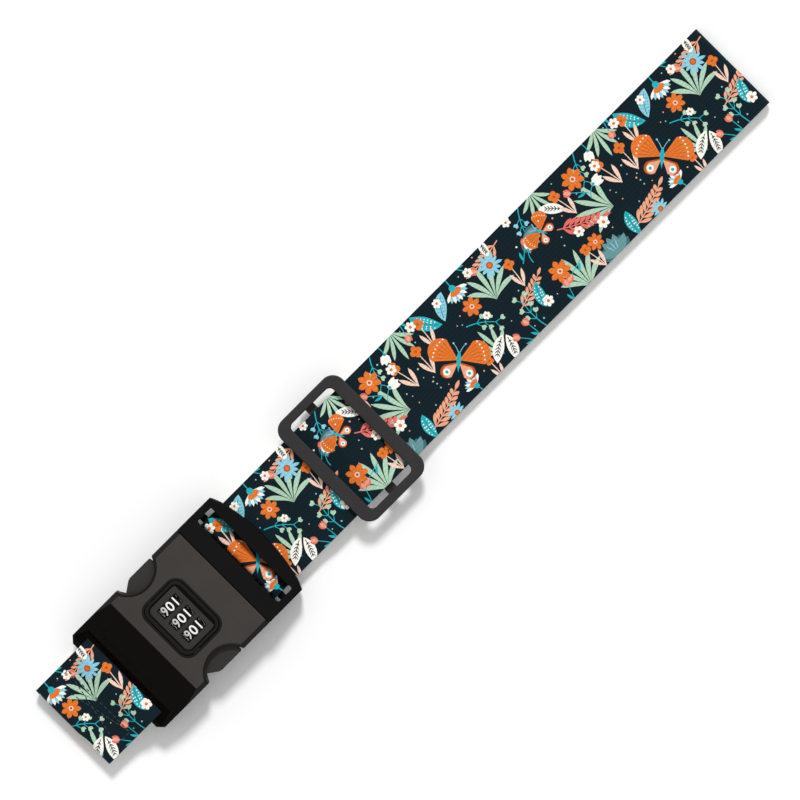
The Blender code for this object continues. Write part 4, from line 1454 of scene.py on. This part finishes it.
def make_slider():
    """The three-bar slider: a flat frame with softly rounded edges and a low middle bar."""
    x, y = (slider_low.x, slider_high.x), (slider_low.y, slider_high.y)
    frame_bar = rounded_block("slider_moulding", x, y, (9.4, slider_high.z), 6.7, 12)
    half_x, half_y = 13.9, 28.4  # of the frame's opening
    inner_x = (SLIDER_X - half_x, SLIDER_X + half_x)
    inner = rounded_block("inner", inner_x, (-half_y, half_y), (0, ABOVE), 2.7, 8)
    carve(frame_bar, inner)
    soften(frame_bar, 0.75, 4, 50)
    bar_x = (SLIDER_X - SLIDER_BAR_HALF, SLIDER_X + SLIDER_BAR_HALF)
    bar_y = (1.4 - slider_high.y, slider_high.y - 1.4)
    bar = block("bar", bar_x, bar_y, (slider_low.z, SLIDER_BAR_TOP))
    bevel_where(bar, lambda a, b: abs(a.y - b.y) > 20, 0.9, 4)
    weld(frame_bar, bar)
    for side in (-1, 1):
        lug_y = sorted((side * 28.6, side * 32.0))
        weld(frame_bar, block("lug", (SLIDER_X - 2.5, SLIDER_X + 2.5), lug_y, (6.3, 10.2)))
    return finish_piece(frame_bar, "slider", "slider", "slider_plastic", "slider_frame")


# ---------------------------------------------------------------- stitching


def make_stitching(name, node, body, length, middle, degrees):
    """A box stitch with a cross: short rounded stitches, each sunk a little in the webbing."""
    pitch, half_x, half_y = 2.9, length / 2, 21.0
    stitch = (2.1, 0.46, 0.34)  # length, width and height
    a, b, c, d = (-half_x, -half_y), (half_x, -half_y), (half_x, half_y), (-half_x, half_y)
    runs = [(a, b), (b, c), (c, d), (d, a), (a, c), (b, d)]
    nothing_selected()
    bpy.ops.mesh.primitive_uv_sphere_add(segments=8, ring_count=6, radius=0.5 * MM, scale=stitch)
    pattern = settle("stitch")
    copies = []
    lie = Matrix.Translation(Vector(middle) * MM) @ Matrix.Rotation(math.radians(degrees), 4, "Y")
    for start, end in runs:
        start, end = Vector(start), Vector(end)
        count = max(1, round((end - start).length / pitch))
        heading = math.atan2(end.y - start.y, end.x - start.x)
        for k in range(count):
            spot = start.lerp(end, (k + 0.5) / count)
            copy = pattern.copy()
            copy.data = pattern.data.copy()
            turned = Matrix.Translation(spot.to_3d() * MM) @ Matrix.Rotation(heading, 4, "Z")
            copy.data.transform(lie @ turned)
            bpy.context.scene.collection.objects.link(copy)
            copies.append(copy)
    bpy.data.objects.remove(pattern)
    return finish_piece(join_all(copies, name), "thread", body, "thread", node)


# ---------------------------------------------------------------- assembly

make_stage()
make_webbing(LOOKS["webbing"])
make_shell()
make_arm(1, "left")
make_arm(-1, "right")
make_bezel()
for dial in (1, 2, 3):
    make_wheel(dial)
make_lock_spring()
make_plug()
make_slider()
make_stitching("socket_end_stitches", "socket_stitching", "socket", 9.0, (-211.2, 0, 9.62), -7.4)
tail_top = TAIL + TOP_HALF + 0.02
make_stitching("slider_end_stitches", "slider_stitching", "slider", 12.0, (-56.5, 0, tail_top), 0)

for node_name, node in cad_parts.items():
    node.data.materials.clear()
    finish = "steel"
    if node_name.startswith(("socket_shell", "plug", "release", "dial_bezel", "socket_base", "code_reset")):
        finish = "face"
    if node_name == "slider_frame":
        finish = "slider"
    if node_name.startswith("dial_wheel"):
        finish = "dial"
    if "stitching" in node_name:
        finish = "thread"
    if node_name.startswith("code_sleeve"):
        finish = "zinc"
    node.data.materials.append(LOOKS[finish])
